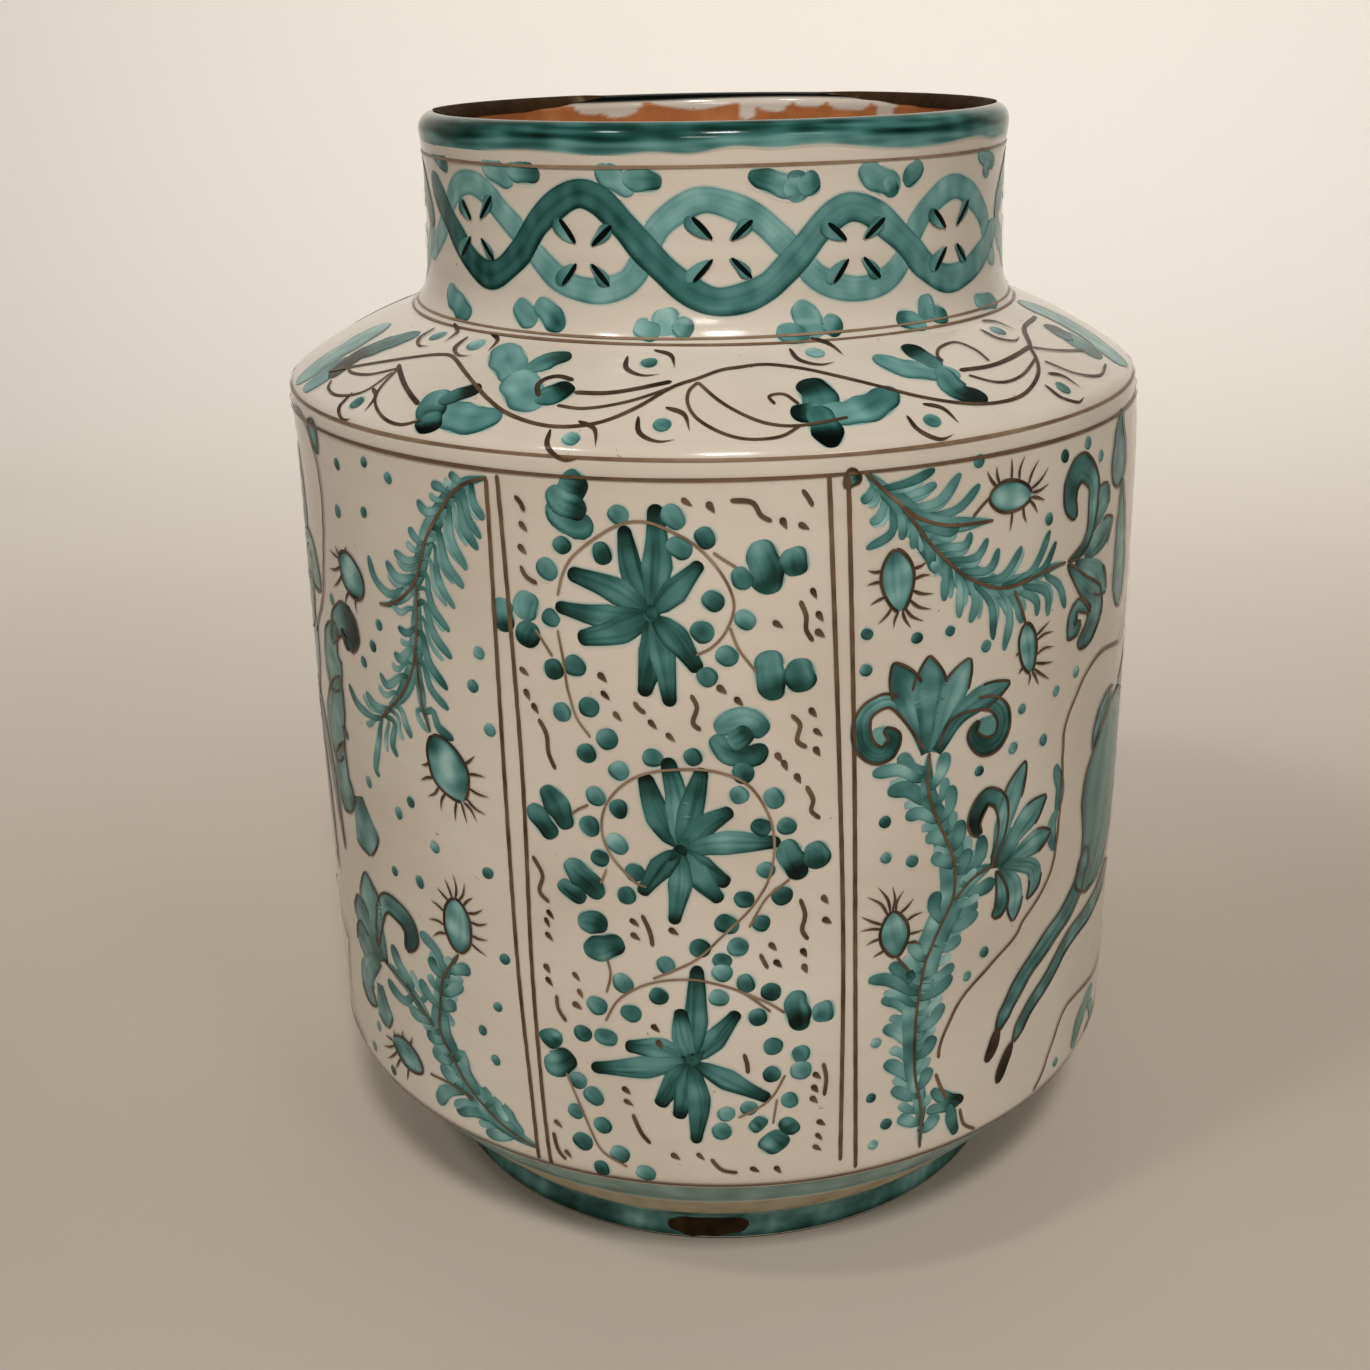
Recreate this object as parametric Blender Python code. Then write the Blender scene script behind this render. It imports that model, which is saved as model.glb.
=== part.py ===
"""Glazed earthenware jar with a straight neck, as the thrown clay sections that a potter lutes together.

Seven sections stand one on another: foot ring, base floor, base flare, body wall, shoulder, neck collar
and rim lip. Each joint is keyed with a ridge in a groove, as leather-hard sections are scored and luted.
Units are metres, +Z is up, and the origin is the middle of the surface that the foot stands on.
"""

import math

import bmesh
import bpy

# Heights above the surface that the jar stands on
HEIGHT = 0.300
LIP_SEAM_Z = 0.2880
NECK_SEAM_Z = 0.2580
SHOULDER_SEAM_Z = 0.2200
WALL_SEAM_Z = 0.0500
FOOT_HEIGHT = 0.0080
FLOOR_TOP_Z = 0.0170

# Outside radii
LIP_RADIUS = 0.0776
NECK_WAIST_RADIUS = 0.0769
NECK_FOOT_RADIUS = 0.0780
SHOULDER_RADIUS = 0.1155
BASE_EDGE_RADIUS = 0.1185
FOOT_RADIUS = 0.0880

# Heights of the two hard edges of the body, and of the line where shoulder and neck meet
SHOULDER_EDGE_Z = 0.2370
BASE_EDGE_Z = 0.0435
SHOULDER_TOP_Z = 0.2520
SHOULDER_TOP_RADIUS = 0.0806

# Clay thickness, roundings and the swelling of the thrown wall
NECK_THICKNESS = 0.0070
WALL_THICKNESS = 0.0078
FOOT_WIDTH = 0.0120
FLOOR_RADIUS = 0.0840
SHOULDER_ROUNDING = 0.0060
BASE_ROUNDING = 0.0040
SHOULDER_SWELL = 0.0010
WALL_SWELL = 0.0006
FOOT_BEVEL = 0.0010

# Joints: clear gap between sections, and the key in the middle of each joint face
SEAM_GAP = 0.0003
KEY_DEPTH = 0.0015
KEY_HALF_WIDTH = 0.0015

FACETS = 48

CREAM_GLAZE = (0.72, 0.64, 0.54, 1.0)
COPPER_GREEN = (0.06, 0.27, 0.24, 1.0)
GREEN_WASH = (0.36, 0.43, 0.37, 1.0)
TERRACOTTA = (0.45, 0.19, 0.08, 1.0)


def clear_scene():
    for item in list(bpy.data.objects):
        bpy.data.objects.remove(item)


def arc(centre, radius, start_deg, end_deg, steps):
    """Points along an arc in the (radius, height) plane, both ends included."""
    angles = [math.radians(start_deg + (end_deg - start_deg) * i / steps) for i in range(steps + 1)]
    return [(centre[0] + radius * math.cos(a), centre[1] + radius * math.sin(a)) for a in angles]


def swelling(start, end, swell, steps):
    """Points from start to end, bowed by swell to the left of the way at its middle."""
    run = math.dist(start, end)
    normal = ((start[1] - end[1]) / run, (end[0] - start[0]) / run)
    points = []
    for i in range(steps + 1):
        t = i / steps
        bow = swell * 4 * t * (1 - t)
        points.append(tuple(start[k] + (end[k] - start[k]) * t + normal[k] * bow for k in (0, 1)))
    return points


def ridge_up(inner_radius, outer_radius, z):
    """A joint face at z, from its inner to its outer edge, with the key standing up from its middle."""
    middle = (inner_radius + outer_radius) / 2
    return [
        (inner_radius, z),
        (middle - KEY_HALF_WIDTH, z),
        (middle, z + KEY_DEPTH),
        (middle + KEY_HALF_WIDTH, z),
        (outer_radius, z),
    ]


def wall_radius(z):
    """Outside radius of the body wall, which narrows a little from the base edge to the shoulder."""
    t = (z - BASE_EDGE_Z) / (SHOULDER_EDGE_Z - BASE_EDGE_Z)
    swell = WALL_SWELL * 4 * t * (1 - t)
    return BASE_EDGE_RADIUS + (SHOULDER_RADIUS - BASE_EDGE_RADIUS) * t + swell


def neck_radius(z):
    """Outside radius of the neck, widest at its foot and again at the lip."""
    t = (z - NECK_SEAM_Z) / (LIP_SEAM_Z - NECK_SEAM_Z)
    return NECK_FOOT_RADIUS + (NECK_WAIST_RADIUS - NECK_FOOT_RADIUS) * math.sin(t * math.pi / 2)


def rim_lip():
    """The rounded lip: a half-round top on a short straight wall."""
    bottom = LIP_SEAM_Z + SEAM_GAP
    outer = neck_radius(LIP_SEAM_Z)
    inner = outer - NECK_THICKNESS
    crown = (LIP_RADIUS - inner) / 2
    top = arc((inner + crown, HEIGHT - crown), crown, 0, 180, 10)
    joint = ridge_up(inner, outer, bottom)
    return [*top, *joint]


def neck_collar():
    bottom, top = NECK_SEAM_Z + SEAM_GAP, LIP_SEAM_Z
    heights = [bottom + (top - bottom) * i / 5 for i in range(6)]
    outside = [(neck_radius(z), z) for z in heights]
    inside = [(r - NECK_THICKNESS, z) for r, z in outside]
    top_joint = ridge_up(inside[-1][0], outside[-1][0], top)
    bottom_joint = ridge_up(inside[0][0], outside[0][0], bottom)
    return [*outside, *top_joint[-2:0:-1], *inside[::-1], *bottom_joint[1:-1]]


def shoulder():
    """From the top of the wall over the rounded edge and up the domed slope to the foot of the neck."""
    bottom, top = SHOULDER_SEAM_Z + SEAM_GAP, NECK_SEAM_Z
    edge_centre = (SHOULDER_RADIUS - SHOULDER_ROUNDING, SHOULDER_EDGE_Z - SHOULDER_ROUNDING)
    slope = math.degrees(
        math.atan2(SHOULDER_RADIUS - SHOULDER_TOP_RADIUS, SHOULDER_TOP_Z - SHOULDER_EDGE_Z)
    )
    edge = arc(edge_centre, SHOULDER_ROUNDING, 0, slope, 5)
    dome = swelling(edge[-1], (SHOULDER_TOP_RADIUS, SHOULDER_TOP_Z), -SHOULDER_SWELL, 6)
    outside = [(wall_radius(bottom), bottom), *edge, *dome[1:], (neck_radius(top), top)]
    neck_inner = neck_radius(top) - NECK_THICKNESS
    drop = WALL_THICKNESS / math.cos(math.radians(90 - slope))
    inside = [
        (wall_radius(bottom) - WALL_THICKNESS, bottom),
        (wall_radius(bottom) - WALL_THICKNESS, edge_centre[1] - SHOULDER_ROUNDING / 2),
        *[(r, z - drop) for r, z in dome[1:-1]],
        (neck_inner, SHOULDER_TOP_Z - drop + KEY_DEPTH),
        (neck_inner, top),
    ]
    top_joint = ridge_up(neck_inner, outside[-1][0], top)
    bottom_joint = ridge_up(inside[0][0], outside[0][0], bottom)
    return [*outside, *top_joint[-2:0:-1], *inside[::-1], *bottom_joint[1:-1]]


def body_wall():
    bottom, top = WALL_SEAM_Z + SEAM_GAP, SHOULDER_SEAM_Z
    heights = [bottom + (top - bottom) * i / 6 for i in range(7)]
    outside = [(wall_radius(z), z) for z in heights]
    inside = [(r - WALL_THICKNESS, z) for r, z in outside]
    top_joint = ridge_up(inside[-1][0], outside[-1][0], top)
    bottom_joint = ridge_up(inside[0][0], outside[0][0], bottom)
    return [*outside, *top_joint[-2:0:-1], *inside[::-1], *bottom_joint[1:-1]]


def base_flare():
    """The cone that carries the wall out from the foot, with its rounded edge where the wall begins."""
    bottom, top = FOOT_HEIGHT + SEAM_GAP, WALL_SEAM_Z
    foot_edge = (FOOT_RADIUS + FOOT_BEVEL, bottom)
    lean = math.degrees(math.atan2(BASE_EDGE_RADIUS - foot_edge[0], BASE_EDGE_Z - bottom))
    edge_centre = (BASE_EDGE_RADIUS - BASE_ROUNDING, BASE_EDGE_Z + BASE_ROUNDING / 2)
    edge = arc(edge_centre, BASE_ROUNDING, -lean, 0, 4)
    inner_radius = FLOOR_RADIUS + SEAM_GAP
    inner_wall = wall_radius(top) - WALL_THICKNESS
    inner_cone = swelling((inner_wall, BASE_EDGE_Z), (inner_radius, FLOOR_TOP_Z), WALL_SWELL, 4)
    top_joint = ridge_up(inner_wall, wall_radius(top), top)
    return [
        foot_edge,
        *edge,
        *top_joint[::-1],
        *inner_cone,
        (inner_radius, bottom),
    ]


def base_floor():
    """The round pad at the bottom, dished a little where the potter opened the clay."""
    bottom = FOOT_HEIGHT + SEAM_GAP
    dish = [(FLOOR_RADIUS * (1 - i / 4), FLOOR_TOP_Z - KEY_DEPTH * math.sin(i * math.pi / 8)) for i in range(5)]
    return [(0.0, bottom), (FLOOR_RADIUS, bottom), *dish]


def foot_ring():
    """The turned foot: flat below, with a bevelled outer edge and a hollow inside it."""
    inner = FOOT_RADIUS - FOOT_WIDTH
    return [
        (inner + FOOT_BEVEL, 0.0),
        (FOOT_RADIUS - FOOT_BEVEL, 0.0),
        (FOOT_RADIUS, FOOT_BEVEL),
        (FOOT_RADIUS, FOOT_HEIGHT - FOOT_BEVEL),
        (FOOT_RADIUS - FOOT_BEVEL, FOOT_HEIGHT),
        (inner - FOOT_BEVEL, FOOT_HEIGHT),
        (inner, FOOT_HEIGHT - FOOT_BEVEL),
        (inner, FOOT_BEVEL),
    ]


def glaze_material(name, colour, roughness):
    material = bpy.data.materials.new(name)
    material.use_nodes = True
    shader = material.node_tree.nodes["Principled BSDF"]
    shader.inputs["Base Color"].default_value = colour
    shader.inputs["Roughness"].default_value = roughness
    shader.inputs["Metallic"].default_value = 0.0
    material.diffuse_color = colour
    return material


def turned(name, outline, colour, roughness):
    """Spins a closed outline of (radius, height) points about the jar's axis into one solid."""
    bm = bmesh.new()
    corners = [bm.verts.new((r, 0.0, z)) for r, z in outline]
    edges = [bm.edges.new((a, b)) for a, b in zip(corners, corners[1:] + corners[:1])]
    bmesh.ops.spin(
        bm,
        geom=[*corners, *edges],
        cent=(0, 0, 0),
        axis=(0, 0, 1),
        angle=2 * math.pi,
        steps=FACETS,
        use_merge=True,
    )
    bmesh.ops.remove_doubles(bm, verts=bm.verts, dist=1e-6)
    bmesh.ops.dissolve_degenerate(bm, dist=1e-7, edges=bm.edges)
    bmesh.ops.recalc_face_normals(bm, faces=bm.faces)
    mesh = bpy.data.meshes.new(name)
    bm.to_mesh(mesh)
    bm.free()
    mesh.shade_smooth()
    mesh.set_sharp_from_angle(angle=math.radians(30))
    mesh.materials.append(glaze_material(f"{name}_finish", colour, roughness))
    section = bpy.data.objects.new(name, mesh)
    bpy.context.scene.collection.objects.link(section)
    return section


def main():
    clear_scene()
    turned("foot_ring", foot_ring(), COPPER_GREEN, 0.30)
    turned("base_floor", base_floor(), TERRACOTTA, 0.85)
    turned("base_flare", base_flare(), GREEN_WASH, 0.25)
    turned("body_wall", body_wall(), CREAM_GLAZE, 0.18)
    turned("shoulder", shoulder(), CREAM_GLAZE, 0.16)
    turned("neck_collar", neck_collar(), CREAM_GLAZE, 0.18)
    turned("rim_lip", rim_lip(), COPPER_GREEN, 0.18)


main()
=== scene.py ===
"""Looks of a painted earthenware jar: tin glaze, with brushwork in copper green and manganese brown.

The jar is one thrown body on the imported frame. Each painted mark is a thin brush stroke that follows its
surface. Places on the near side are written in pixels of the 1370 x 1370 view and cast onto the jar, and
places that this view doesn't show are written as an angle in degrees and a height in millimetres.
"""

import math

import bpy
import numpy as np
from mathutils import Matrix, Vector


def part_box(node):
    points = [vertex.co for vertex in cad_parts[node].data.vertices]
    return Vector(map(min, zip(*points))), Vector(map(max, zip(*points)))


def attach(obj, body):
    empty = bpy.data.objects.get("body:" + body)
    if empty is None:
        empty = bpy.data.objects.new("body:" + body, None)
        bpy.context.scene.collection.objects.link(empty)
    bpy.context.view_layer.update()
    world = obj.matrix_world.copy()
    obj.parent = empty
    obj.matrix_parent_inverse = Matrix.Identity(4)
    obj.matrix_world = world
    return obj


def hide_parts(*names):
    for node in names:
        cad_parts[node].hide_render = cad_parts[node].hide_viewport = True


MM = 0.001
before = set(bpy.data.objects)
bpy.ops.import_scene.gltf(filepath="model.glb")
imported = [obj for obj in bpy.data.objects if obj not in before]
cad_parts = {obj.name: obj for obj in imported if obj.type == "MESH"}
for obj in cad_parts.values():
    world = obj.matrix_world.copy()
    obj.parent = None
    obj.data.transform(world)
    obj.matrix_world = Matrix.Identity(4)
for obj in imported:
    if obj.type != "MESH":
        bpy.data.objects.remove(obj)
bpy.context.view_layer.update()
SEED = 11
rng = np.random.default_rng(SEED)

# Paint lies this far above the clay: soft rims, green strokes, dark ones over them, and lines on top
HALO_LIFT = 0.02 * MM
GREEN_LIFT = 0.07 * MM
DARK_LIFT = 0.18 * MM
BROWN_LIFT = 0.29 * MM
TOP_LIFT = 0.40 * MM
# In a layer each stroke lies one step above the last, and after this many levels at the lowest again
STROKE_STEP = 0.005 * MM
HALO_STEP = 0.002 * MM
LIFT_LEVELS = 20

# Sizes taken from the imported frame
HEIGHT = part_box("rim_lip")[1].z
LIP_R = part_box("rim_lip")[1].x
NECK_FOOT_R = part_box("neck_collar")[1].x
BASE_EDGE_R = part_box("base_flare")[1].x
FOOT_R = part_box("foot_ring")[1].x
FOOT_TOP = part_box("foot_ring")[1].z
FLOOR_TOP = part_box("base_floor")[1].z

# Further sizes of the thrown outline, the same as those of the solids
NECK_WAIST_R = 76.9 * MM
NECK_SEAM_Z = 258 * MM
LIP_SEAM_Z = 288 * MM
SHOULDER_R = 115.5 * MM
SHOULDER_EDGE_Z = 237 * MM
SHOULDER_ROUNDING = 6 * MM
SHOULDER_TOP_R = 80.6 * MM
SHOULDER_TOP_Z = 252 * MM
SHOULDER_SWELL = 1.0 * MM
BASE_EDGE_Z = 43.5 * MM
WALL_SWELL = 0.6 * MM
NECK_THICKNESS = 7 * MM
WALL_THICKNESS = 7.8 * MM
FOOT_WIDTH = 12 * MM

# The skin: its own roundings at foot and base edge, points round it, how far past its crest the lip turns
# inside, and how many rows of the outside lie there
FOOT_SOFT = 1.2 * MM
BASE_SOFT = 1.6 * MM
AROUND = 280
LIP_TURN = 3 * MM
LIP_ROWS = 6

# The unevenness of a jar thrown by hand, and its shoulder's lean over this much of its height
SHOULDER_LEAN = 1.4 * MM
LEAN_REACH = 14 * MM
OVAL = 0.35 * MM
THREE_SIDED = 0.2 * MM
RING_DEPTH = 0.06 * MM
RINGS_PER_MM = 0.9
RING_FADE_PER_MM = 0.13
FOOT_FADE = 12 * MM

# The view: camera place, aim and focal length in pixels of the square frame
FRAME_PX = 1370
FOCAL_PX = 1650
CAMERA = np.array((0.0, -0.4629, 0.3219))
YAW = math.radians(-1.21)
PITCH = math.radians(22.07)
ROLL = math.radians(-1.03)
SENSOR_MM = 36
# Where a ray of the view may meet the jar, in metres ahead of the camera
DEPTHS = np.linspace(0.3, 0.62, 321)


def view_axes():
    """Forward, right and up of the camera."""
    forward = np.array(
        (math.sin(YAW) * math.cos(PITCH), math.cos(YAW) * math.cos(PITCH), -math.sin(PITCH))
    )
    level = np.array((math.cos(YAW), -math.sin(YAW), 0.0))
    upward = np.cross(level, forward)
    right = math.cos(ROLL) * level + math.sin(ROLL) * upward
    up = math.cos(ROLL) * upward - math.sin(ROLL) * level
    return forward, right, up


FORWARD, RIGHT, UP = view_axes()


def wall_radius(z):
    """Outside radius of the body wall, which narrows a little from the base edge to the shoulder."""
    t = (z - BASE_EDGE_Z) / (SHOULDER_EDGE_Z - BASE_EDGE_Z)
    return BASE_EDGE_R + (SHOULDER_R - BASE_EDGE_R) * t + WALL_SWELL * 4 * t * (1 - t)


def neck_radius(z):
    """Outside radius of the neck, which narrows from its foot to the lip."""
    t = (z - NECK_SEAM_Z) / (LIP_SEAM_Z - NECK_SEAM_Z)
    return NECK_FOOT_R + (NECK_WAIST_R - NECK_FOOT_R) * np.sin(t * math.pi / 2)


def arc(centre, radius, start_deg, end_deg, steps):
    """Points along an arc in the (radius, height) plane."""
    angle = np.radians(np.linspace(start_deg, end_deg, steps))
    return np.stack((centre[0] + radius * np.cos(angle), centre[1] + radius * np.sin(angle)), 1)


def bend(start, corner, end, steps):
    """A smooth turn from start to end that heads for corner at both."""
    t = np.linspace(0, 1, steps)[:, None]
    start, corner, end = (np.array(p) for p in (start, corner, end))
    return start * (1 - t) ** 2 + corner * 2 * t * (1 - t) + end * t**2


def bowed(start, end, swell, steps):
    """A line from start to end, bowed outwards by swell."""
    t = np.linspace(0, 1, steps)[:, None]
    start, end = np.array(start), np.array(end)
    way = end - start
    outward = np.array((way[1], -way[0])) / np.hypot(*way)
    return start + way * t + outward * swell * 4 * t * (1 - t)


def outside_outline():
    """(radius, height) rows up the outside, from the foot's outer edge over the lip to its inner side."""
    edge_centre = (SHOULDER_R - SHOULDER_ROUNDING, SHOULDER_EDGE_Z - SHOULDER_ROUNDING)
    slope = math.degrees(math.atan2(SHOULDER_R - SHOULDER_TOP_R, SHOULDER_TOP_Z - SHOULDER_EDGE_Z))
    shoulder_edge = arc(edge_centre, SHOULDER_ROUNDING, 4, slope, 12)
    flare_foot = (FOOT_R + FOOT_SOFT, FOOT_TOP + FOOT_SOFT)
    flare_top = (BASE_EDGE_R - BASE_SOFT, BASE_EDGE_Z - BASE_SOFT)
    heights = np.linspace(BASE_EDGE_Z + 4 * MM, edge_centre[1] - 2 * MM, 84)
    wall = np.stack((wall_radius(heights), heights), 1)
    dome_end = (SHOULDER_TOP_R + 2.5 * MM, SHOULDER_TOP_Z - 1.4 * MM)
    fillet_corner = (neck_radius(NECK_SEAM_Z) + 0.8 * MM, SHOULDER_TOP_Z + 1 * MM)
    fillet_top = (neck_radius(NECK_SEAM_Z + 3 * MM), NECK_SEAM_Z + 3 * MM)
    neck_z = np.linspace(NECK_SEAM_Z + 4 * MM, LIP_SEAM_Z, 26)
    crown = (LIP_R - NECK_WAIST_R + NECK_THICKNESS) / 2
    lip = arc((LIP_R - crown, HEIGHT - crown), crown, -6, 170, 34)
    return np.concatenate(
        (
            bend((FOOT_R - FOOT_SOFT, 0), (FOOT_R, 0), (FOOT_R + 0.2 * MM, 1.6 * MM), 5),
            bend((FOOT_R + 0.3 * MM, 5.5 * MM), (FOOT_R + 0.3 * MM, FOOT_TOP), flare_foot, 6),
            bowed(flare_foot, flare_top, 0.5 * MM, 26)[1:-1],
            bend(flare_top, (BASE_EDGE_R, BASE_EDGE_Z), wall[0], 8)[:-1],
            wall,
            shoulder_edge,
            bowed(shoulder_edge[-1], dome_end, SHOULDER_SWELL, 36)[1:-1],
            bend(dome_end, fillet_corner, fillet_top, 12),
            np.stack((neck_radius(neck_z), neck_z), 1),
            lip,
        )
    )


def inside_outline(lip_end):
    """(radius, height) rows down the inside, from the lip's inner edge to the middle of the floor."""
    neck_r = NECK_WAIST_R - NECK_THICKNESS
    wall_r = SHOULDER_R - WALL_THICKNESS
    base_r = BASE_EDGE_R - WALL_THICKNESS
    floor_r = FOOT_R - 4 * MM
    neck_rows = 40
    neck_drop = (lip_end[1] - SHOULDER_TOP_Z + 4 * MM) * np.linspace(0, 1, neck_rows) ** 1.5
    neck_z = lip_end[1] - 0.4 * MM - neck_drop
    neck_end = (neck_r + 1 * MM, SHOULDER_TOP_Z - 8 * MM)
    floor_start = (floor_r + 1 * MM, FLOOR_TOP + 1.6 * MM)
    return np.concatenate(
        (
            np.stack((np.full(neck_rows, neck_r), neck_z), 1),
            bend(neck_end, (80 * MM, 243 * MM), (100 * MM, 232 * MM), 10),
            bend((102 * MM, 231 * MM), (wall_r, 228 * MM), (wall_r, 218 * MM), 8),
            np.linspace((wall_r, 208 * MM), (base_r, 52 * MM), 20),
            bend((base_r, 48 * MM), (base_r, 42 * MM), (base_r - 5 * MM, 37 * MM), 6),
            np.linspace((base_r - 7 * MM, 34.8 * MM), (floor_r + 3 * MM, FLOOR_TOP + 4 * MM), 6),
            bend(floor_start, (floor_r - 2 * MM, FLOOR_TOP), (70 * MM, FLOOR_TOP), 6),
            np.array(((40 * MM, FLOOR_TOP - 1 * MM), (0.0, FLOOR_TOP - 1.5 * MM))),
        )
    )


def under_outline():
    """(radius, height) rows under the jar, from the middle of the floor out to the foot's flat face."""
    inner = FOOT_R - FOOT_WIDTH
    return np.array(
        (
            (0.0, FOOT_TOP + 0.3 * MM),
            (inner * 0.5, FOOT_TOP + 0.3 * MM),
            (inner - 2 * MM, FOOT_TOP + 0.2 * MM),
            (inner - 0.6 * MM, FOOT_TOP - 0.6 * MM),
            (inner, FOOT_TOP - 2 * MM),
            (inner + 0.2 * MM, 1.2 * MM),
            (inner + 1.4 * MM, 0.0),
            ((inner + FOOT_R) / 2, 0.0),
        )
    )


OUTSIDE = outside_outline()
CREST = int(np.argmax(OUTSIDE[:, 1]))
WAY = np.concatenate(((0.0,), np.cumsum(np.hypot(*np.diff(OUTSIDE, axis=0).T))))


def wobble(angle, z):
    """How far the thrown jar is out of round: slightly oval, shoulder off centre, faint throwing rings."""
    oval = OVAL * np.sin(2 * angle + 0.7) + THREE_SIDED * np.sin(3 * angle + 2.0 + 6 * z)
    spiral = np.sin(z / MM * RINGS_PER_MM + 0.6 * np.sin(angle))
    rings = RING_DEPTH * spiral * np.sin(z / MM * RING_FADE_PER_MM + 1)
    foot_fade = np.clip(z / FOOT_FADE, 0, 1)
    lean = -SHOULDER_LEAN * np.sin(angle) * np.exp(-(((z - SHOULDER_EDGE_Z) / LEAN_REACH) ** 2))
    return (oval + rings) * foot_fade + lean


def on_jar(angle, way, lift):
    """Points of the outside surface at an angle from the front and a way up its outline."""
    radius = np.interp(way, WAY, OUTSIDE[:, 0])
    z = np.interp(way, WAY, OUTSIDE[:, 1])
    step = 0.4 * MM
    d_r = np.interp(way + step, WAY, OUTSIDE[:, 0]) - np.interp(way - step, WAY, OUTSIDE[:, 0])
    d_z = np.interp(way + step, WAY, OUTSIDE[:, 1]) - np.interp(way - step, WAY, OUTSIDE[:, 1])
    length = np.maximum(np.hypot(d_r, d_z), 1e-9)
    radius = radius + wobble(angle, z) + lift * d_z / length
    z = z - lift * d_r / length
    return np.stack((radius * np.sin(angle), -radius * np.cos(angle), z), -1)


def px(points):
    """(angle, way) on the jar of points seen at these pixels of the view."""
    points = np.atleast_2d(np.array(points, float))
    across = (points[:, :1] - FRAME_PX / 2) / FOCAL_PX
    down = (points[:, 1:] - FRAME_PX / 2) / FOCAL_PX
    rays = FORWARD + across * RIGHT - down * UP
    spots = CAMERA + rays[:, None, :] * DEPTHS[None, :, None]
    radius = np.hypot(spots[..., 0], spots[..., 1])
    jar_r = np.interp(spots[..., 2], OUTSIDE[: CREST + 1, 1], OUTSIDE[: CREST + 1, 0])
    gap = radius - jar_r - wobble(np.arctan2(spots[..., 0], -spots[..., 1]), spots[..., 2])
    gap[(spots[..., 2] > HEIGHT) | (spots[..., 2] < 0)] = 1.0
    inside = gap < 0
    met = inside.any(1)
    at = np.where(met, inside.argmax(1), gap.argmin(1))
    at = np.clip(at, 1, len(DEPTHS) - 1)
    row = np.arange(len(points))
    before, after = gap[row, at - 1], gap[row, at]
    share = np.where(met, before / np.maximum(before - after, 1e-9), 1.0)
    hit = spots[row, at - 1] + (spots[row, at] - spots[row, at - 1]) * share[:, None]
    angle = np.arctan2(hit[:, 0], -hit[:, 1])
    way = np.interp(hit[:, 2], OUTSIDE[: CREST + 1, 1], WAY[: CREST + 1])
    return np.stack((angle, way), 1)


def deg(points):
    """(angle, way) of points written as degrees from the front and millimetres of height."""
    points = np.atleast_2d(np.array(points, float))
    way = np.interp(points[:, 1] * MM, OUTSIDE[: CREST + 1, 1], WAY[: CREST + 1])
    return np.stack((np.radians(points[:, 0]), way), 1)


def near(anchor, points, turn=0.0):
    """(angle, way) of points in millimetres right of and above an anchor, turned about it by degrees."""
    points = np.atleast_2d(np.array(points, float)) * MM
    c, s = math.cos(math.radians(turn)), math.sin(math.radians(turn))
    right = points[:, 0] * c - points[:, 1] * s
    above = points[:, 0] * s + points[:, 1] * c
    radius = np.interp(anchor[1], WAY, OUTSIDE[:, 0])
    return np.stack((anchor[0] + right / radius, anchor[1] + above), 1)


# Curves: points between two given ones, fewest points of a curve, and how far they crowd at its ends
CURVE_STEPS = 12
FEWEST_POINTS = 17
CROWDING = 0.85


def smooth(path, step):
    """A curve through the points of path, the share of its way at each point, and its length.

    Its steps are even but grow short towards both ends, where brush strokes turn round.
    """
    radius = np.interp(path[:, 1].mean(), WAY, OUTSIDE[:, 0])
    flat = path * (radius, 1.0)
    ends = np.concatenate((2 * flat[:1] - flat[1:2], flat, 2 * flat[-1:] - flat[-2:-1]))
    fine = []
    t = np.linspace(0, 1, CURVE_STEPS, endpoint=False)[:, None]
    for a, b, c, d in zip(ends, ends[1:], ends[2:], ends[3:]):
        slope = 0.5 * (c - a)
        bending = a - 2.5 * b + 2 * c - 0.5 * d
        twist = 1.5 * (b - c) + 0.5 * (d - a)
        fine.append(b + t * slope + t**2 * bending + t**3 * twist)
    fine = np.concatenate((*fine, flat[-1:]))
    run = np.concatenate(((0.0,), np.cumsum(np.hypot(*np.diff(fine, axis=0).T))))
    t = np.linspace(0, 1, max(FEWEST_POINTS, int(run[-1] / step) + 1))
    t = t - CROWDING * np.sin(2 * math.pi * t) / (2 * math.pi)
    curve = np.stack([np.interp(t * run[-1], run, fine[:, k]) for k in (0, 1)], 1)
    return curve / (radius, 1.0), t, run[-1]


# Waves that add up to patchy colour, how fast they run, and what brings their sum to about 1
WAVE_COUNT = 18
PATCH_WAVES = rng.normal(size=(WAVE_COUNT, 2))
PATCH_PHASES = rng.uniform(0, 2 * math.pi, WAVE_COUNT)
WAVE_RATE = 2.4
WAVE_SUM = 4.5
MEAN_R = 100 * MM


def mottle(angle, way, scale):
    """Soft irregular unevenness, mostly between -1 and 1, with patches of roughly this size."""
    u, v = angle * MEAN_R / scale, way / scale
    total = np.zeros(np.broadcast(u, v).shape)
    for (across, along), phase in zip(PATCH_WAVES, PATCH_PHASES):
        total = total + np.sin(WAVE_RATE * (across * u + along * v) + phase)
    return total / WAVE_SUM


def quads(index):
    """Faces between the neighbours of a grid of point numbers."""
    corners = (index[:-1, :-1], index[:-1, 1:], index[1:, 1:], index[1:, :-1])
    return np.stack(corners, -1).reshape(-1, 4)


def surface(name, points, faces, material):
    """A smooth surface, placed in the scene."""
    mesh = bpy.data.meshes.new(name)
    mesh.from_pydata(points, [], faces)
    mesh.shade_smooth()
    mesh.materials.append(material)
    piece = bpy.data.objects.new(name, mesh)
    bpy.context.scene.collection.objects.link(piece)
    return piece


# A piece of paint keeps its tone and softness as places on its own UV map, this far in from the edges
CHART_MARGIN = 0.03


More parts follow.
